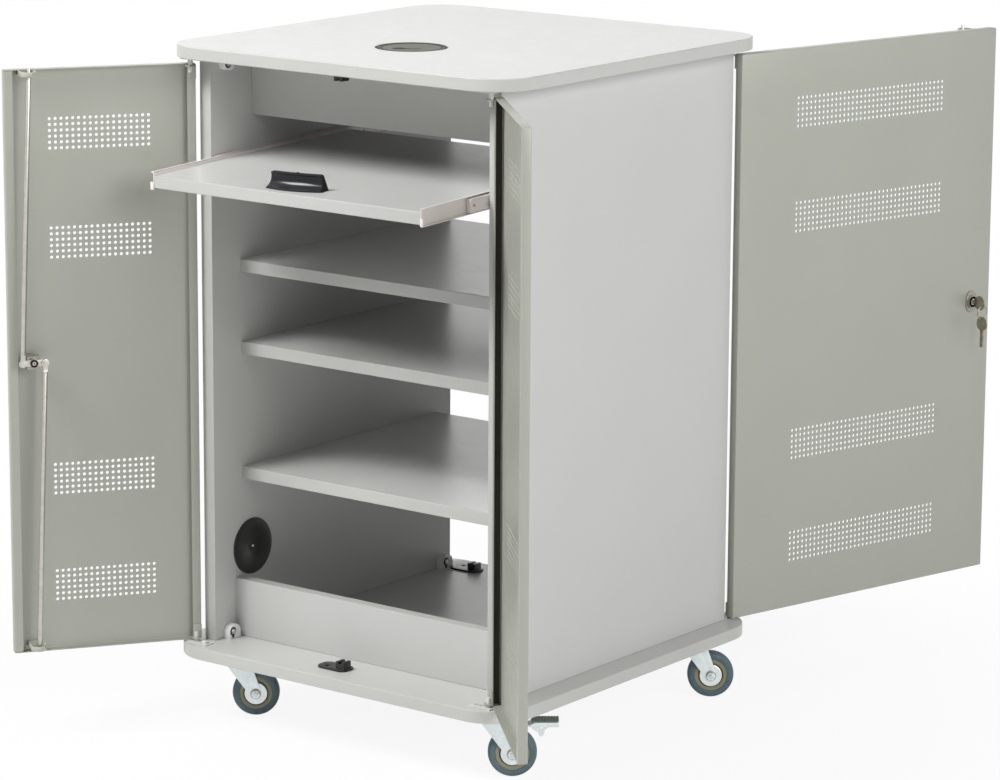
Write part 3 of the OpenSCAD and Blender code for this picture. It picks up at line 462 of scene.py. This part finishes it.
def lathe(name, profile, look, matrix, n, smooth=30):
    """A closed profile of radius and height, turned about Z."""
    verts, faces = [], []
    for r, z in profile:
        verts += [(x * MM, y * MM, z * MM) for x, y in circle(0, 0, r, n)]
    for k, (r, z) in enumerate(profile):
        after = (k + 1) % len(profile)
        if r == 0 and profile[after][0] == 0:
            continue
        for i in range(n):
            j = (i + 1) % n
            faces.append((k * n + i, k * n + j, after * n + j, after * n + i))
    return finished(name, closed_mesh(name, verts, faces, weld=True), (look,), matrix, smooth)


def bar(name, start, end, radius, look, matrix, n=20):
    """A round bar between two points."""
    start, end = Vector(start), Vector(end)
    along = (end - start).normalized()
    side = along.orthogonal().normalized()
    rim = [(side * x + along.cross(side) * y) * radius for x, y in circle(0, 0, 1, n)]
    faces = [(k, (k + 1) % n, n + (k + 1) % n, n + k) for k in range(n)]
    faces += [tuple(reversed(range(n))), tuple(range(n, 2 * n))]
    mesh = bpy.data.meshes.new(name)
    mesh.from_pydata([(p + r) * MM for p in (start, end) for r in rim], [], faces)
    return finished(name, mesh, (look,), matrix, 40)


def join(name, objs):
    """One object out of several, which keep their looks."""
    bm = bmesh.new()
    looks = []
    for o in objs:
        looks += [m for m in o.data.materials if m not in looks]
    mesh = bpy.data.meshes.new(name)
    for o in objs:
        table = [looks.index(m) for m in o.data.materials]
        for polygon in o.data.polygons:
            polygon.material_index = table[polygon.material_index]
        bm.from_mesh(o.data)
    bm.to_mesh(mesh)
    bm.free()
    for o in objs:
        bpy.data.objects.remove(o)
    for look in looks:
        mesh.materials.append(look)
    return placed(name, mesh)


def put(obj, node):
    """The piece stands for its CAD node and rides on that node's body."""
    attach(obj, BODY[node])
    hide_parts(node)
    return obj


def trim(obj, body):
    """A small extra piece that stands for no CAD node of its own."""
    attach(obj, body)


# Solids that are taken over: the distance in metres at which points are one, and the angles in degrees
# under which a face is flat, over which an edge is rounded and over which one is sharp
ONE_POINT, FLAT_ANGLE, ROUND_ANGLE, SHARP_ANGLE = 2e-6, 0.6, 35, 28


def take(node, bevel, look=None, steps=2):
    """A copy of a CAD node with rounded edges, which stands for it."""
    bm = bmesh.new()
    bm.from_mesh(frame["nodes"][node].data)
    bmesh.ops.remove_doubles(bm, verts=bm.verts, dist=ONE_POINT)
    bmesh.ops.dissolve_limit(bm, angle_limit=math.radians(FLAT_ANGLE), verts=bm.verts, edges=bm.edges)
    mesh = bpy.data.meshes.new(node + "_piece")
    bm.to_mesh(mesh)
    bm.free()
    obj = placed(mesh.name, mesh)
    if bevel:
        mod = obj.modifiers.new("round", "BEVEL")
        mod.width = bevel * MM
        mod.segments = steps
        mod.limit_method = "ANGLE"
        mod.angle_limit = math.radians(ROUND_ANGLE)
        mod.miter_outer = "MITER_ARC"
        mesh = baked(obj)
        obj.modifiers.clear()
        obj.data = mesh
    mesh.materials.clear()
    mesh.materials.append(LOOKS[look or SLOT[node]])
    for polygon in mesh.polygons:
        polygon.material_index = 0
    mesh.shade_smooth()
    mesh.set_sharp_from_angle(angle=math.radians(SHARP_ANGLE))
    return put(obj, node)


# Boards, panels and shelves. The top board is a plate with a collar round the cable port.

COLLAR_R, COLLAR_TOP, COLLAR_HOLE = 55.6, 1074.9, 55.9
# Segments of the large circles
ROUND = 96


def corner_board(name, z0, z1, holes=()):
    return flat(name, rrect(BOARD_W, BOARD_D, BOARD_R, 24), z0, z1, BAND, Matrix(), holes, 1.6, 3)


put(corner_board("base_board_piece", BASE_UNDER, BASE_TOP), "base_board")
section = [(GROMMET_R, TOP_UNDER), (COLLAR_R, TOP_UNDER), (COLLAR_R, COLLAR_TOP), (GROMMET_R, COLLAR_TOP)]
collar = lathe("top_collar", section, "laminate", shift(*GROMMET, 0), ROUND)
plate = corner_board("top_plate", TOP_UNDER, TOP_Z, [circle(*GROMMET, COLLAR_HOLE, ROUND)])
put(join("top_board_piece", [plate, collar]), "top_board")

PANEL = (PANEL_FRONT, PANEL_REAR, BASE_TOP, TOP_UNDER, "X")
put(slab("right_panel_piece", PANEL_IN, PANEL_OUT, *PANEL), "right_side_panel")
put(slab("left_panel_piece", -PANEL_OUT, -PANEL_IN, *PANEL, [circle(PORT_Y, PORT_Z, PORT_R, 64)]),
    "left_side_panel")
put(slab("upper_cross_piece", -PANEL_IN, PANEL_IN, UPPER_CROSS_Y, UPPER_CROSS_Y + CROSS_T,
         UPPER_CROSS_Z, TOP_UNDER, "Y"), "upper_cross_panel")
put(slab("lower_cross_piece", -PANEL_IN, PANEL_IN, LOWER_CROSS_Y, LOWER_CROSS_Y + CROSS_T,
         BASE_TOP, LOWER_CROSS_TOP, "Y"), "lower_cross_panel")
for key, top in SHELF_TOPS.items():
    shelf = slab(key + "_shelf_piece", -PANEL_IN, PANEL_IN, SHELF_FRONT, SHELF_REAR, top - SHELF_T, top,
                 bevel=1.2)
    put(shelf, key + "_shelf")
shelf = slab("pullout_shelf_piece", -PULL_HALF, PULL_HALF, 0, PULL_D, -PULL_T, 0, bevel=1.2,
             matrix=slide(PULL_OUT))
put(shelf, "pullout_shelf")

take("dowels", 0.5)
take("fixing_blocks", 0.8, steps=3)
# Dark eyelets of painted shade on the blocks' faces: height from the board, inner and outer radius
EYELETS = ((12, 4.4, 7.0), (3.6, 0.0, 2.6))
eyelets = []
for x in (-BLOCK_FACE, BLOCK_FACE):
    for y in BLOCK_SCREW_Y:
        for face, up in ((BASE_TOP, 1), (TOP_UNDER, -1)):
            for z, r0, r1 in EYELETS:
                eyelets.append(lathe("eyelet", [(r0, -0.3), (r1, -0.3), (r1, 0.3), (r0, 0.3)], "gap_painted_shade",
                                     shift(x, y, face + up * z) @ rot("Y", 90), 28))
trim(join("block_eyelets", eyelets), BODY["fixing_blocks"])
take("screws", 0.25)

# Runners, with the place, height and radius of the holes in their webs

RUNNER_HOLES = [(168, -8, 2.4), (236, -8, 1.6), (300, -8, 2.4), (340, -8, 1.6), (396, -12, 2.2),
                (440, -8, 2.4)]
CABINET_HOLES = [(108, -8, 2.4)] + RUNNER_HOLES
# The stop at the front end of a shelf member
NIB_D, NIB_H = 2.5, 12


def runner(name, at, x0, opens, y0, nib, holes):
    """A channel of folded sheet with holes in its web, which opens towards +X or -X."""
    y1 = y0 + PULL_D

    def part(kind, width, ya, yb, za, zb, axis="Z", cuts=(), bevel=0.3):
        xa, xb = sorted((x0, x0 + opens * width))
        return slab(name + kind, xa, xb, ya, yb, za, zb, axis, cuts, bevel, ("runner_paint",), at)

    cuts = [circle(y0 + y, z, r, 20) for y, z, r in holes]
    parts = [part("_web", RUNNER_SHEET, y0, y1, RUNNER_LOW, RUNNER_HIGH, "X", cuts)]
    for z in (RUNNER_LOW, RUNNER_HIGH - RUNNER_SHEET):
        parts.append(part("_flange", RUNNER_CHANNEL, y0, y1, z, z + RUNNER_SHEET))
    if nib:
        parts.append(part("_nib", RUNNER_CHANNEL, y0 - NIB_D, y0 + 0.3, RUNNER_LOW, RUNNER_LOW + NIB_H,
                          bevel=0.6))
    return parts


shelf_members, cabinet_members = [], []
for s in (1, -1):
    shelf_members += runner("rs", slide(PULL_OUT), s * PULL_HALF, s, 0, True, RUNNER_HOLES)
put(join("runner_shelf_piece", shelf_members), "runner_shelf_members")
for s in (1, -1):
    cabinet_members += runner("rc", slide(0), s * PANEL_IN, -s, RUNNER_START, False, CABINET_HOLES)
put(join("runner_cabinet_piece", cabinet_members), "runner_cabinet_members")
take("runner_middle_members", 0.5, "runner_paint")

# Shelf pull

GRIP_HALF, GRIP_H, GRIP_D, GRIP_BOW = 49, 25, 29, 9.5
GRIP_ROWS, GRIP_FRONT = 40, 16
# The hollow of its front: depth, the height at which it starts, and how softly it deepens
HOLLOW_D, HOLLOW_Z, HOLLOW_EASE = 15.6, 2.6, 4.6
# How far the lip over the hollow is set back, and how far the top drops at the two ends
LIP_BACK, END_DROP, END_START = 2.0, 1.2, 0.93


def shelf_pull():
    """A scooped moulding that is swept round a shallow bow."""
    rows = []
    for i in range(GRIP_ROWS + 1):
        u = -1 + 2 * i / GRIP_ROWS
        top = GRIP_H - END_DROP * max(0.0, abs(u) - END_START) / (1 - END_START)
        section = []
        # The front, from the flared foot up through the hollow to the set-back lip
        for k in range(GRIP_FRONT + 1):
            t = k / GRIP_FRONT
            z = 0.8 + (top - 1.6) * t
            y = 0.4 + HOLLOW_D * (1 - math.exp(-max(0.0, z - HOLLOW_Z) / HOLLOW_EASE))
            section.append((y - LIP_BACK if t > 0.9 else y, z))
        section += [(15.8, top), (21.5, top), (22.6, top - 1.2), (25.5, top * 0.55), (28.5, 4), (GRIP_D, 0.4),
                    (28.6, 0), (1.2, 0)]
        row = []
        for y, z in section:
            taper = 1 - 0.10 * (1 - math.exp(-z / 5.0))
            row.append((GRIP_HALF * u * taper, GRIP_BOW * u * u * (1 - 0.85 * min(1, y / GRIP_D)) + y, z))
        rows.append(row)
    n = len(rows[0])
    verts = [tuple(c * MM for c in p) for row in rows for p in row]
    faces = [(i * n + k, (i + 1) * n + k, (i + 1) * n + (k + 1) % n, i * n + (k + 1) % n)
             for i in range(GRIP_ROWS) for k in range(n)]
    faces.append(tuple(range(n)))
    faces.append(tuple(reversed(range(GRIP_ROWS * n, GRIP_ROWS * n + n))))
    mesh = closed_mesh("shelf_pull_body", verts, faces)
    place = slide(PULL_OUT) @ shift(-0.5, 15, 0) @ rot("Z", 9)
    body = finished("pull_body", mesh, ("black_gloss",), place, 50)
    nub = lathe("pull_nub", [(0, 24.6), (3.2, 24.6), (2.8, 26.4), (1.6, 27.2), (0, 27.3)], "black_gloss",
                place @ shift(3, 19, -1.0), 24)
    return join("shelf_pull_piece", [body, nub])


put(shelf_pull(), "shelf_pull")

# Cable ports, with heights from the top board's face and from the panel's inner face

RING = [(46, -19), (49.95, -19), (49.95, -1.9), (54.6, -1.9), (55.2, -1.6), (55.1, -0.8), (54.4, 0),
        (47.6, 0), (46.4, -0.4), (46, -1.4), (46, -3), (43.5, -3), (43, -3.4), (43, -4.6), (43.4, -5),
        (46, -5)]
CAP_R, CAP_UNDER, CAP_TOP, CAP_TURN = 45.8, -2.95, -0.6, 37.4
CAP_SLOT = [(-30, -13), (-26, -17), (-10, -18.5), (14, -17), (14, -14.5), (-6, -13.5), (-14, -7), (-22, -7),
            (-29, -11)]
COVER = [(0, 1.2), (3.4, 1.1), (4.6, 1.1), (5.6, 1.9), (14, 1.7), (15, 2.1), (36, 2.6), (43.5, 2.9),
         (45.0, 2.5), (45.5, 1.4), (45.5, 0), (39.9, 0), (39.7, -21.6), (37, -21.8), (37, -2), (0, -2)]
RIVET = [(0, 2.8), (0.9, 2.65), (1.7, 2.2), (2.2, 1.4), (2.2, 0.6)]

at = shift(*GROMMET, TOP_Z)
put(lathe("grommet_ring_piece", RING, "grey_ring", at, ROUND), "grommet_ring")
# The cap is turned in its ring, so that its slot runs level in the photograph
at = at @ rot("Z", CAP_TURN)
rim = circle(0, 0, CAP_R, ROUND)
# The cap's rim and the walls of its slot take the last look, a painted shade
cap = flat("cap_disc", rim, CAP_UNDER, CAP_TOP, ("grey_cap", "gap_painted_shade"), at, [CAP_SLOT], 0.5)
lip = flat("cap_lip", rrect(36, 3.0, 1.2, 4, -6, -21.6), -0.8, 0, ("grey_cap",), at, (), 0.4)
# A black disc under the cap paints the shade seen through the slot
under = lathe("cap_under", [(0, -7), (30, -7), (30, -5.5), (0, -5.5)], "black_painted_shade", at, 48)
put(join("grommet_cap_piece", [cap, lip, under]), "grommet_cap")

at = shift(-PANEL_IN, PORT_Y, PORT_Z) @ rot("Y", 90)
cover = lathe("side_cover_piece", COVER, "black_plastic", at, ROUND)
rivet = lathe("cover_rivet", RIVET, "zinc_bright", at, 24)
put(join("side_cover", [cover, rivet]), "side_port_cover")

# Doors

FOLD_R, FOLD_STEPS, VENT_SIDES = 2, 3, 16
FOLD_TURNS = [math.pi / 2 * i / FOLD_STEPS for i in range(FOLD_STEPS + 1)]


def vent_grid(width, columns):
    """The lines between which the vents of a door lie, along its width and up its height."""
    foot = DOOR_Z - BASE_TOP
    across = [width / 2 + (i - columns / 2) * VENT_PITCH for i in range(columns + 1)]
    upward = [v - foot + (j - VENT_ROWS / 2) * VENT_PITCH for v in VENTS for j in range(VENT_ROWS + 1)]
    return [FOLD_R] + across + [width - FOLD_R], [FOLD_R] + upward + [DOOR_H - FOLD_R]


def corner(s, z, start):
    """The places round one corner of a door, with their outward directions."""
    turns = [math.radians(start + 90 * i / FOLD_STEPS) for i in range(1, FOLD_STEPS)]
    return [((s, z), (math.cos(t), math.sin(t)), False) for t in turns]


def door_sheet(name, width, depth, columns, matrix, paint_channel_shade=True):
    """A folded tray of perforated sheet, drawn as one skin and then given its thickness."""
    s_list, z_list = vent_grid(width, columns)
    verts, faces, seen = [], [], {}

    def vert(s, n, z):
        key = (round(s, 5), round(n, 5), round(z, 5))
        if key not in seen:
            seen[key] = len(verts)
            verts.append((s * MM, n * MM, (z + DOOR_Z) * MM))
        return seen[key]

    def quad(*points):
        ids = []
        for p in points:
            i = vert(*p)
            if i not in ids:
                ids.append(i)
        if len(ids) > 2:
            faces.append(tuple(ids))

    # The face: one cell for each vent, with a round hole, and plain cells between
    for a in range(len(s_list) - 1):
        for b in range(len(z_list) - 1):
            s0, s1, z0, z1 = s_list[a], s_list[a + 1], z_list[b], z_list[b + 1]
            between = b % (VENT_ROWS + 1) == 0
            if between or not 0 < a < len(s_list) - 2 or not 0 < b < len(z_list) - 2:
                quad((s0, 0, z0), (s1, 0, z0), (s1, 0, z1), (s0, 0, z1))
                continue
            rim = [(s, 0, z) for s, z in circle((s0 + s1) / 2, (z0 + z1) / 2, VENT_R, VENT_SIDES)]
            corners = [(s1, 0, z1), (s0, 0, z1), (s0, 0, z0), (s1, 0, z0)]
            step = VENT_SIDES // 4
            for q in range(4):
                for k in range(q * step, q * step + step):
                    quad(corners[q], rim[(k + 1) % VENT_SIDES], rim[k])
                quad(corners[q], corners[(q + 1) % 4], rim[(q + 1) * step % VENT_SIDES])

    # The places round the face: where, which way is out, and whether a lip is folded there
    right, top = width - FOLD_R, DOOR_H - FOLD_R
    outline = [((s, FOLD_R), (0, -1), False) for s in s_list] + corner(right, FOLD_R, -90)
    outline += [((right, z), (1, 0), True) for z in z_list] + corner(right, top, 0)
    outline += [((s, top), (0, 1), False) for s in reversed(s_list)] + corner(FOLD_R, top, 90)
    outline += [((FOLD_R, z), (-1, 0), True) for z in reversed(z_list)] + corner(FOLD_R, FOLD_R, 180)

    def point(place, step):
        (s, z), (ds, dz), _ = place
        n, out = step
        return (s + ds * out, n, z + dz * out)

    # Depth and outward reach of the skin, round the fold and up the edge, and then over into a lip
    shoulder = depth - FOLD_R
    edge = [(FOLD_R * (1 - math.cos(t)), FOLD_R * math.sin(t)) for t in FOLD_TURNS] + [(shoulder, FOLD_R)]
    lip = [(shoulder, FOLD_R)]
    lip += [(shoulder + FOLD_R * math.sin(t), FOLD_R * math.cos(t)) for t in FOLD_TURNS[1:]]
    lip.append((depth, -(LIP - FOLD_R)))
    for i, p in enumerate(outline):
        q = outline[(i + 1) % len(outline)]
        for a, b in zip(edge, edge[1:]):
            quad(point(q, a), point(p, a), point(p, b), point(q, b))
        rest = lip if p[2] and q[2] else [(shoulder, FOLD_R), (depth, FOLD_R)]
        for a, b in zip(rest, rest[1:]):
            quad(point(q, a), point(p, a), point(p, b), point(q, b))

    obj = placed(name, closed_mesh(name, verts, faces, front=(0, -1, 0)))
    mod = obj.modifiers.new("sheet", "SOLIDIFY")
    mod.thickness = DOOR_SHEET * MM
    mod.offset = -1
    mod.use_even_offset = True
    mesh = baked(obj)
    bpy.data.objects.remove(obj)
    # The inside of the hinge edge is painted shade, as a dark channel
    for polygon in mesh.polygons:
        c = polygon.center / MM
        if paint_channel_shade and c.x < FOLD_R and polygon.normal.x > 0.5 and FOLD_R < c.y < depth:
            polygon.material_index = 1
    return finished(name, mesh, ("door_paint", "channel_painted_shade"), matrix, 32)


put(door_sheet("left_door_piece", *FRONT_DOOR, LEFT), "left_door")
put(door_sheet("right_door_piece", *FRONT_DOOR, RIGHT), "right_door")
put(door_sheet("rear_door_piece", *REAR_DOOR, REAR, False), "rear_door")
for node in ("left_door_pivots", "right_door_pivots", "rear_door_pivots"):
    take(node, 0.5)
take("pivot_plates", 0.4, "plate_paint")
take("door_strikes", 0.8, steps=3)

# Locks, rods and keys

take("front_lock_body", 0.5, "lock_steel")
take("rear_lock_body", 0.5, "lock_steel")
for node in ("front_lock_cam", "rear_lock_cam", "front_upper_rod", "front_lower_rod", "rear_upper_rod",
             "rear_lower_rod"):
    take(node, 0.5, "rod_steel")

# Painted shade on the hub of each cam, as a dark ring and dot, and a dark ring of painted shade round the
# rear keyhole
HUB = [(3.0, 37.0), (6.2, 37.0), (6.2, 37.9), (5.4, 38.3), (3.4, 38.3), (3.0, 38.1)]
HUB_DOT = [(0, 37.6), (1.3, 37.6), (1.3, 38.05), (0, 38.05)]
KEYHOLE_RIM = [(5.4, 5.9), (9.2, 5.9), (9.2, 6.3), (5.4, 6.3)]
for door, (s, h), name in ((LEFT, FRONT_LOCK, "front"), (REAR, REAR_LOCK, "rear")):
    at = door @ shift(s, 0, h) @ rot("X", -90)
    dot = lathe("dot", HUB_DOT, "gap_painted_shade", at, 20)
    trim(join(name + "_lock_hub", [lathe("hub", HUB, "gap_painted_shade", at, 32), dot]), BODY[name + "_lock_cam"])
at = REAR @ shift(REAR_LOCK[0], 0, REAR_LOCK[1]) @ rot("X", 90)
trim(lathe("rear_lock_rim", KEYHOLE_RIM, "black_painted_shade", at, 32), BODY["rear_lock_body"])

# The guides' straps are a little narrower and shorter than in the CAD, about their rod and the door's edge
GUIDE_W, GUIDE_H = 0.84, 0.75
GUIDE_LOW, GUIDE_HIGH = DOOR_Z + 8, DOOR_Z + DOOR_H - 1.2
for node, door, s in (("front_rod_guides", LEFT, FRONT_LOCK[0]), ("rear_rod_guides", REAR, REAR_LOCK[0])):
    guide = take(node, 0.5, "guide_grey")
    for vertex in guide.data.vertices:
        p = door.inverted() @ vertex.co / MM
        edge = GUIDE_LOW if p.z < DOOR_Z + DOOR_H / 2 else GUIDE_HIGH
        vertex.co = door @ (Vector((s + (p.x - s) * GUIDE_W, p.y, edge + (p.z - edge) * GUIDE_H)) * MM)
for node in ("rear_key", "spare_key"):
    take(node, 0.45, "key_metal")
take("key_ring", 0, "key_metal")

# Castors: profiles of radius and distance from the wheel's middle

TYRE = [(26.45, -11.7), (30, -12), (33.4, -11.6), (35.6, -10.2), (36.9, -7.8), (37.4, -4.5), (37.5, 0),
        (37.4, 4.5), (36.9, 7.8), (35.6, 10.2), (33.4, 11.6), (30, 12), (26.45, 11.7)]
RIM = [(4.06, -12), (8.5, -12), (9.5, -11.4), (10.2, -6), (18.7, -5.2), (19.2, -6.2), (19.6, -10.4),
       (20.4, -11.3), (25.8, -11.5), (26.4, -11.0), (26.4, 11.0), (25.8, 11.5), (20.4, 11.3), (19.6, 10.4),
       (19.2, 6.2), (18.7, 5.2), (10.2, 6), (9.5, 11.4), (8.5, 12), (4.06, 12)]
GUARD = [(4.2, 12.3), (17.4, 12.3), (18, 12.7), (17.9, 13.3), (17, 13.9), (12, 13.95), (4.2, 13.95)]
WASHER = [(4.1, 16.5), (8.6, 16.5), (8.6, 17.2), (8.3, 17.4), (4.1, 17.4)]
BOLT = [(0, -17), (3.95, -17), (3.95, 22.6), (3.2, 23.3), (0, 23.4)]
for name, side in CASTORS.items():
    axle = castor(side) @ shift(TRAIL, 0, AXLE_Z) @ rot("X", 90)
    put(lathe(name + "_tyre_piece", TYRE, "tyre_grey", axle, ROUND, 40), name + "_tyre")
    put(lathe(name + "_rim_piece", RIM, "rim_khaki", axle, ROUND, 35), name + "_rim")
    parts = []
    # A guard disc, a hexagon and a washer on each side: the nut has a hole, the bolt's head has none
    for end, bore in ((1, 4.0), (-1, 0)):
        face = axle @ Matrix.Diagonal((1, 1, end, 1))
        hexagon = [(bore, 16.5), (7.5, 16.5), (7.5, 20.6), (6.4, 21.5), (bore, 21.5)]
        parts.append(lathe("guard", GUARD, "zinc_bright", face, 64))
        parts.append(lathe("nut", hexagon, "zinc_bright", face, 6, 20))
        # The washer's darker lock steel paints the shade round the nut
        parts.append(lathe("washer", WASHER, "lock_steel", face, 40))
    parts.append(lathe("bolt", BOLT, "zinc", axle, 32))
    put(join(name + "_axle_piece", parts), name + "_axle")
    take(name + "_fork", 0.6, "zinc_bright", steps=3)
take("castor_plates", 0.4, "zinc_bright")

TREAD = [(58, 80), (102, 80), (102.6, 81.2), (102.4, 86.4), (101.6, 87.4), (68, 87.4), (63, 86.2), (58.4, 83)]
BRACKET = [(58, 80.2), (93, 80.2), (88, 75), (81, 70.5), (79, 62), (76, 60), (73, 61), (71, 66), (62, 72)]
TREAD_HALF = 14.8
# Heights of the pad, of its ribs and of the lever
PAD_Z, RIB_Z, LEVER_Z = (86.4, 88.8), (88.6, 89.8), (79.5, 82.5)
RIBS, RIB_START, RIB_PITCH = 9, 64, 4.6


def brake(name, side):
    """A pedal with a ribbed pad on its tread, a lever to its pin, and a bracket below."""
    at = castor(side)
    tread = flat("tread", TREAD, -TREAD_HALF, TREAD_HALF, ("zinc_bright",), at @ ALONG_Y, (), 0.8)
    pad = flat("pad", rrect(41, 29.4, 3, 4, 81, 0), *PAD_Z, ("pedal_dark",), at)
    ribs = []
    for i in range(RIBS):
        outline = rrect(2.4, 28, 1.0, 3, RIB_START + RIB_PITCH * i, 0)
        ribs.append(flat("rib", outline, *RIB_Z, ("pedal_dark",), at, (), 0.5))
    lever = flat("lever", rrect(50, 24, 3, 4, 37, 0), *LEVER_Z, ("zinc_bright",), at, (), 0.5)
    edge = flat("edge", BRACKET, -6, -4, ("zinc_bright",), at @ ALONG_Y, [circle(76, 73, 2.0, 20)], 0.3)
    pin = bar("pin", (16, -16.4, 81), (16, 16.4, 81), 2.5, "zinc", at)
    return join(name, [tread, pad, *ribs, lever, edge, pin])


for name in ("front_right", "rear_left"):
    put(brake(name + "_brake_piece", CASTORS[name]), name + "_brake_pedal")


# Studio

# The floor's white shares: near the cabinet and far from it, with the distances in metres
FADE = (("From Min", 0.35), ("From Max", 1.5), ("To Min", 0.9), ("To Max", 1.0))
FLOOR_HALF, FLOOR_Z = 40, -0.0005
WORLD_LIGHT = 0.05


def shader(tree, kind, operation=None):
    node = tree.nodes.new("ShaderNode" + kind)
    if operation:
        node.operation = operation
    return node


def backdrop():
    """A pale floor that takes the shadows and fades into the white background."""
    m = bpy.data.materials.new("studio_floor")
    m.use_nodes = True
    t = m.node_tree
    t.nodes.clear()
    out = shader(t, "OutputMaterial")
    diffuse = shader(t, "BsdfDiffuse")
    coordinates = shader(t, "TexCoord")
    cloud = shader(t, "TexNoise")
    cloud.inputs["Scale"].default_value = 1.5
    ramp = shader(t, "ValToRGB")
    ramp.color_ramp.elements[0].color = (0.90, 0.90, 0.90, 1)
    ramp.color_ramp.elements[1].color = (0.94, 0.94, 0.94, 1)
    glow = shader(t, "Emission")
    glow.inputs["Strength"].default_value = 1.0
    mix = shader(t, "MixShader")
    rays = shader(t, "LightPath")
    seen = shader(t, "Math", "MAXIMUM")
    share = shader(t, "Math", "MULTIPLY")
    far = shader(t, "VectorMath", "LENGTH")
    fade = shader(t, "MapRange")
    fade.interpolation_type = "SMOOTHSTEP"
    for key, value in FADE:
        fade.inputs[key].default_value = value
    links = (
        (coordinates.outputs["Object"], far.inputs[0]), (far.outputs["Value"], fade.inputs["Value"]),
        (fade.outputs["Result"], share.inputs[1]), (coordinates.outputs["Object"], cloud.inputs["Vector"]),
        (cloud.outputs["Fac"], ramp.inputs["Fac"]), (ramp.outputs["Color"], diffuse.inputs["Color"]),
        (rays.outputs["Is Camera Ray"], seen.inputs[0]), (rays.outputs["Is Glossy Ray"], seen.inputs[1]),
        (seen.outputs[0], share.inputs[0]), (share.outputs[0], mix.inputs["Fac"]),
        (diffuse.outputs[0], mix.inputs[1]), (glow.outputs[0], mix.inputs[2]),
        (mix.outputs[0], out.inputs["Surface"]))
    for source, target in links:
        t.links.new(source, target)
    corners = ((-1, -1), (1, -1), (1, 1), (-1, 1))
    mesh = bpy.data.meshes.new("studio_floor")
    mesh.from_pydata([(x * FLOOR_HALF, y * FLOOR_HALF, FLOOR_Z) for x, y in corners], [], [(0, 1, 2, 3)])
    mesh.materials.append(m)
    floor = placed("studio_floor", mesh)


def world():
    """White where the camera or a reflection sees it, and dim as a light."""
    w = bpy.data.worlds.new("studio")
    bpy.context.scene.world = w
    w.use_nodes = True
    t = w.node_tree
    t.nodes.clear()
    out = shader(t, "OutputWorld")
    dim, white = shader(t, "Background"), shader(t, "Background")
    dim.inputs["Strength"].default_value = WORLD_LIGHT
    white.inputs["Strength"].default_value = 1.0
    mix = shader(t, "MixShader")
    rays = shader(t, "LightPath")
    first, second = shader(t, "Math", "MAXIMUM"), shader(t, "Math", "MAXIMUM")
    links = (
        (rays.outputs["Is Camera Ray"], first.inputs[0]), (rays.outputs["Is Glossy Ray"], first.inputs[1]),
        (first.outputs[0], second.inputs[0]), (rays.outputs["Is Transmission Ray"], second.inputs[1]),
        (second.outputs[0], mix.inputs["Fac"]), (dim.outputs[0], mix.inputs[1]),
        (white.outputs[0], mix.inputs[2]), (mix.outputs[0], out.inputs["Surface"]))
    for source, target in links:
        t.links.new(source, target)


# Soft lights, aimed at the cabinet's middle: place in metres, width and height, watts
AIM = (0, 0, 0.6)
LIGHTS = {
    "key": ((-1.8, -3.2, 4.4), (2.4, 2.0), 266),
    "side": ((5.0, -1.2, 2.7), (3.0, 2.4), 146),
    "side_rear": ((5.0, 1.6, 2.4), (2.6, 2.2), 30),
    "back": ((-2.6, 3.4, 1.6), (2.8, 2.0), 16),
}

backdrop()
world()
for name, (at, size, power) in LIGHTS.items():
    light = bpy.data.lights.new(name, "AREA")
    light.shape = "RECTANGLE"
    light.size, light.size_y = size
    light.energy = power
    lamp = placed(name, light)
    lamp.location = at
    lamp.rotation_euler = (Vector(AIM) - Vector(at)).to_track_quat("-Z", "Y").to_euler()

# Camera, from the cabinet's own edges in the photograph: angles, place in metres, and the focal length and
# the middle of the perspective in pixels of the photograph

AZ, EL, ROLL = math.radians(37.42), math.radians(11.62), math.radians(0.25)
EYE = (3.7769, -4.8826, 1.8730)
PHOTO_W, PHOTO_H = 1000, 780
FOCAL, MIDDLE_X, MIDDLE_Y = 3989.3, 487.17, 337.18

ahead = Vector((-math.sin(AZ) * math.cos(EL), math.cos(AZ) * math.cos(EL), -math.sin(EL)))
level = Vector((math.cos(AZ), math.sin(AZ), 0))
above = level.cross(ahead)
right = level * math.cos(ROLL) + above * math.sin(ROLL)
up = -level * math.sin(ROLL) + above * math.cos(ROLL)
cam = bpy.data.cameras.new("camera")
cam.sensor_width = 36
cam.lens = FOCAL * cam.sensor_width / PHOTO_W
cam.shift_x = (PHOTO_W / 2 - MIDDLE_X) / PHOTO_W
cam.shift_y = (MIDDLE_Y - PHOTO_H / 2) / PHOTO_W
cam.clip_end = 100
camera = placed("camera", cam)
camera.matrix_world = Matrix(((right.x, up.x, -ahead.x, EYE[0]), (right.y, up.y, -ahead.y, EYE[1]),
                              (right.z, up.z, -ahead.z, EYE[2]), (0, 0, 0, 1)))
bpy.context.scene.camera = camera
bpy.context.scene.view_settings.view_transform = "Standard"
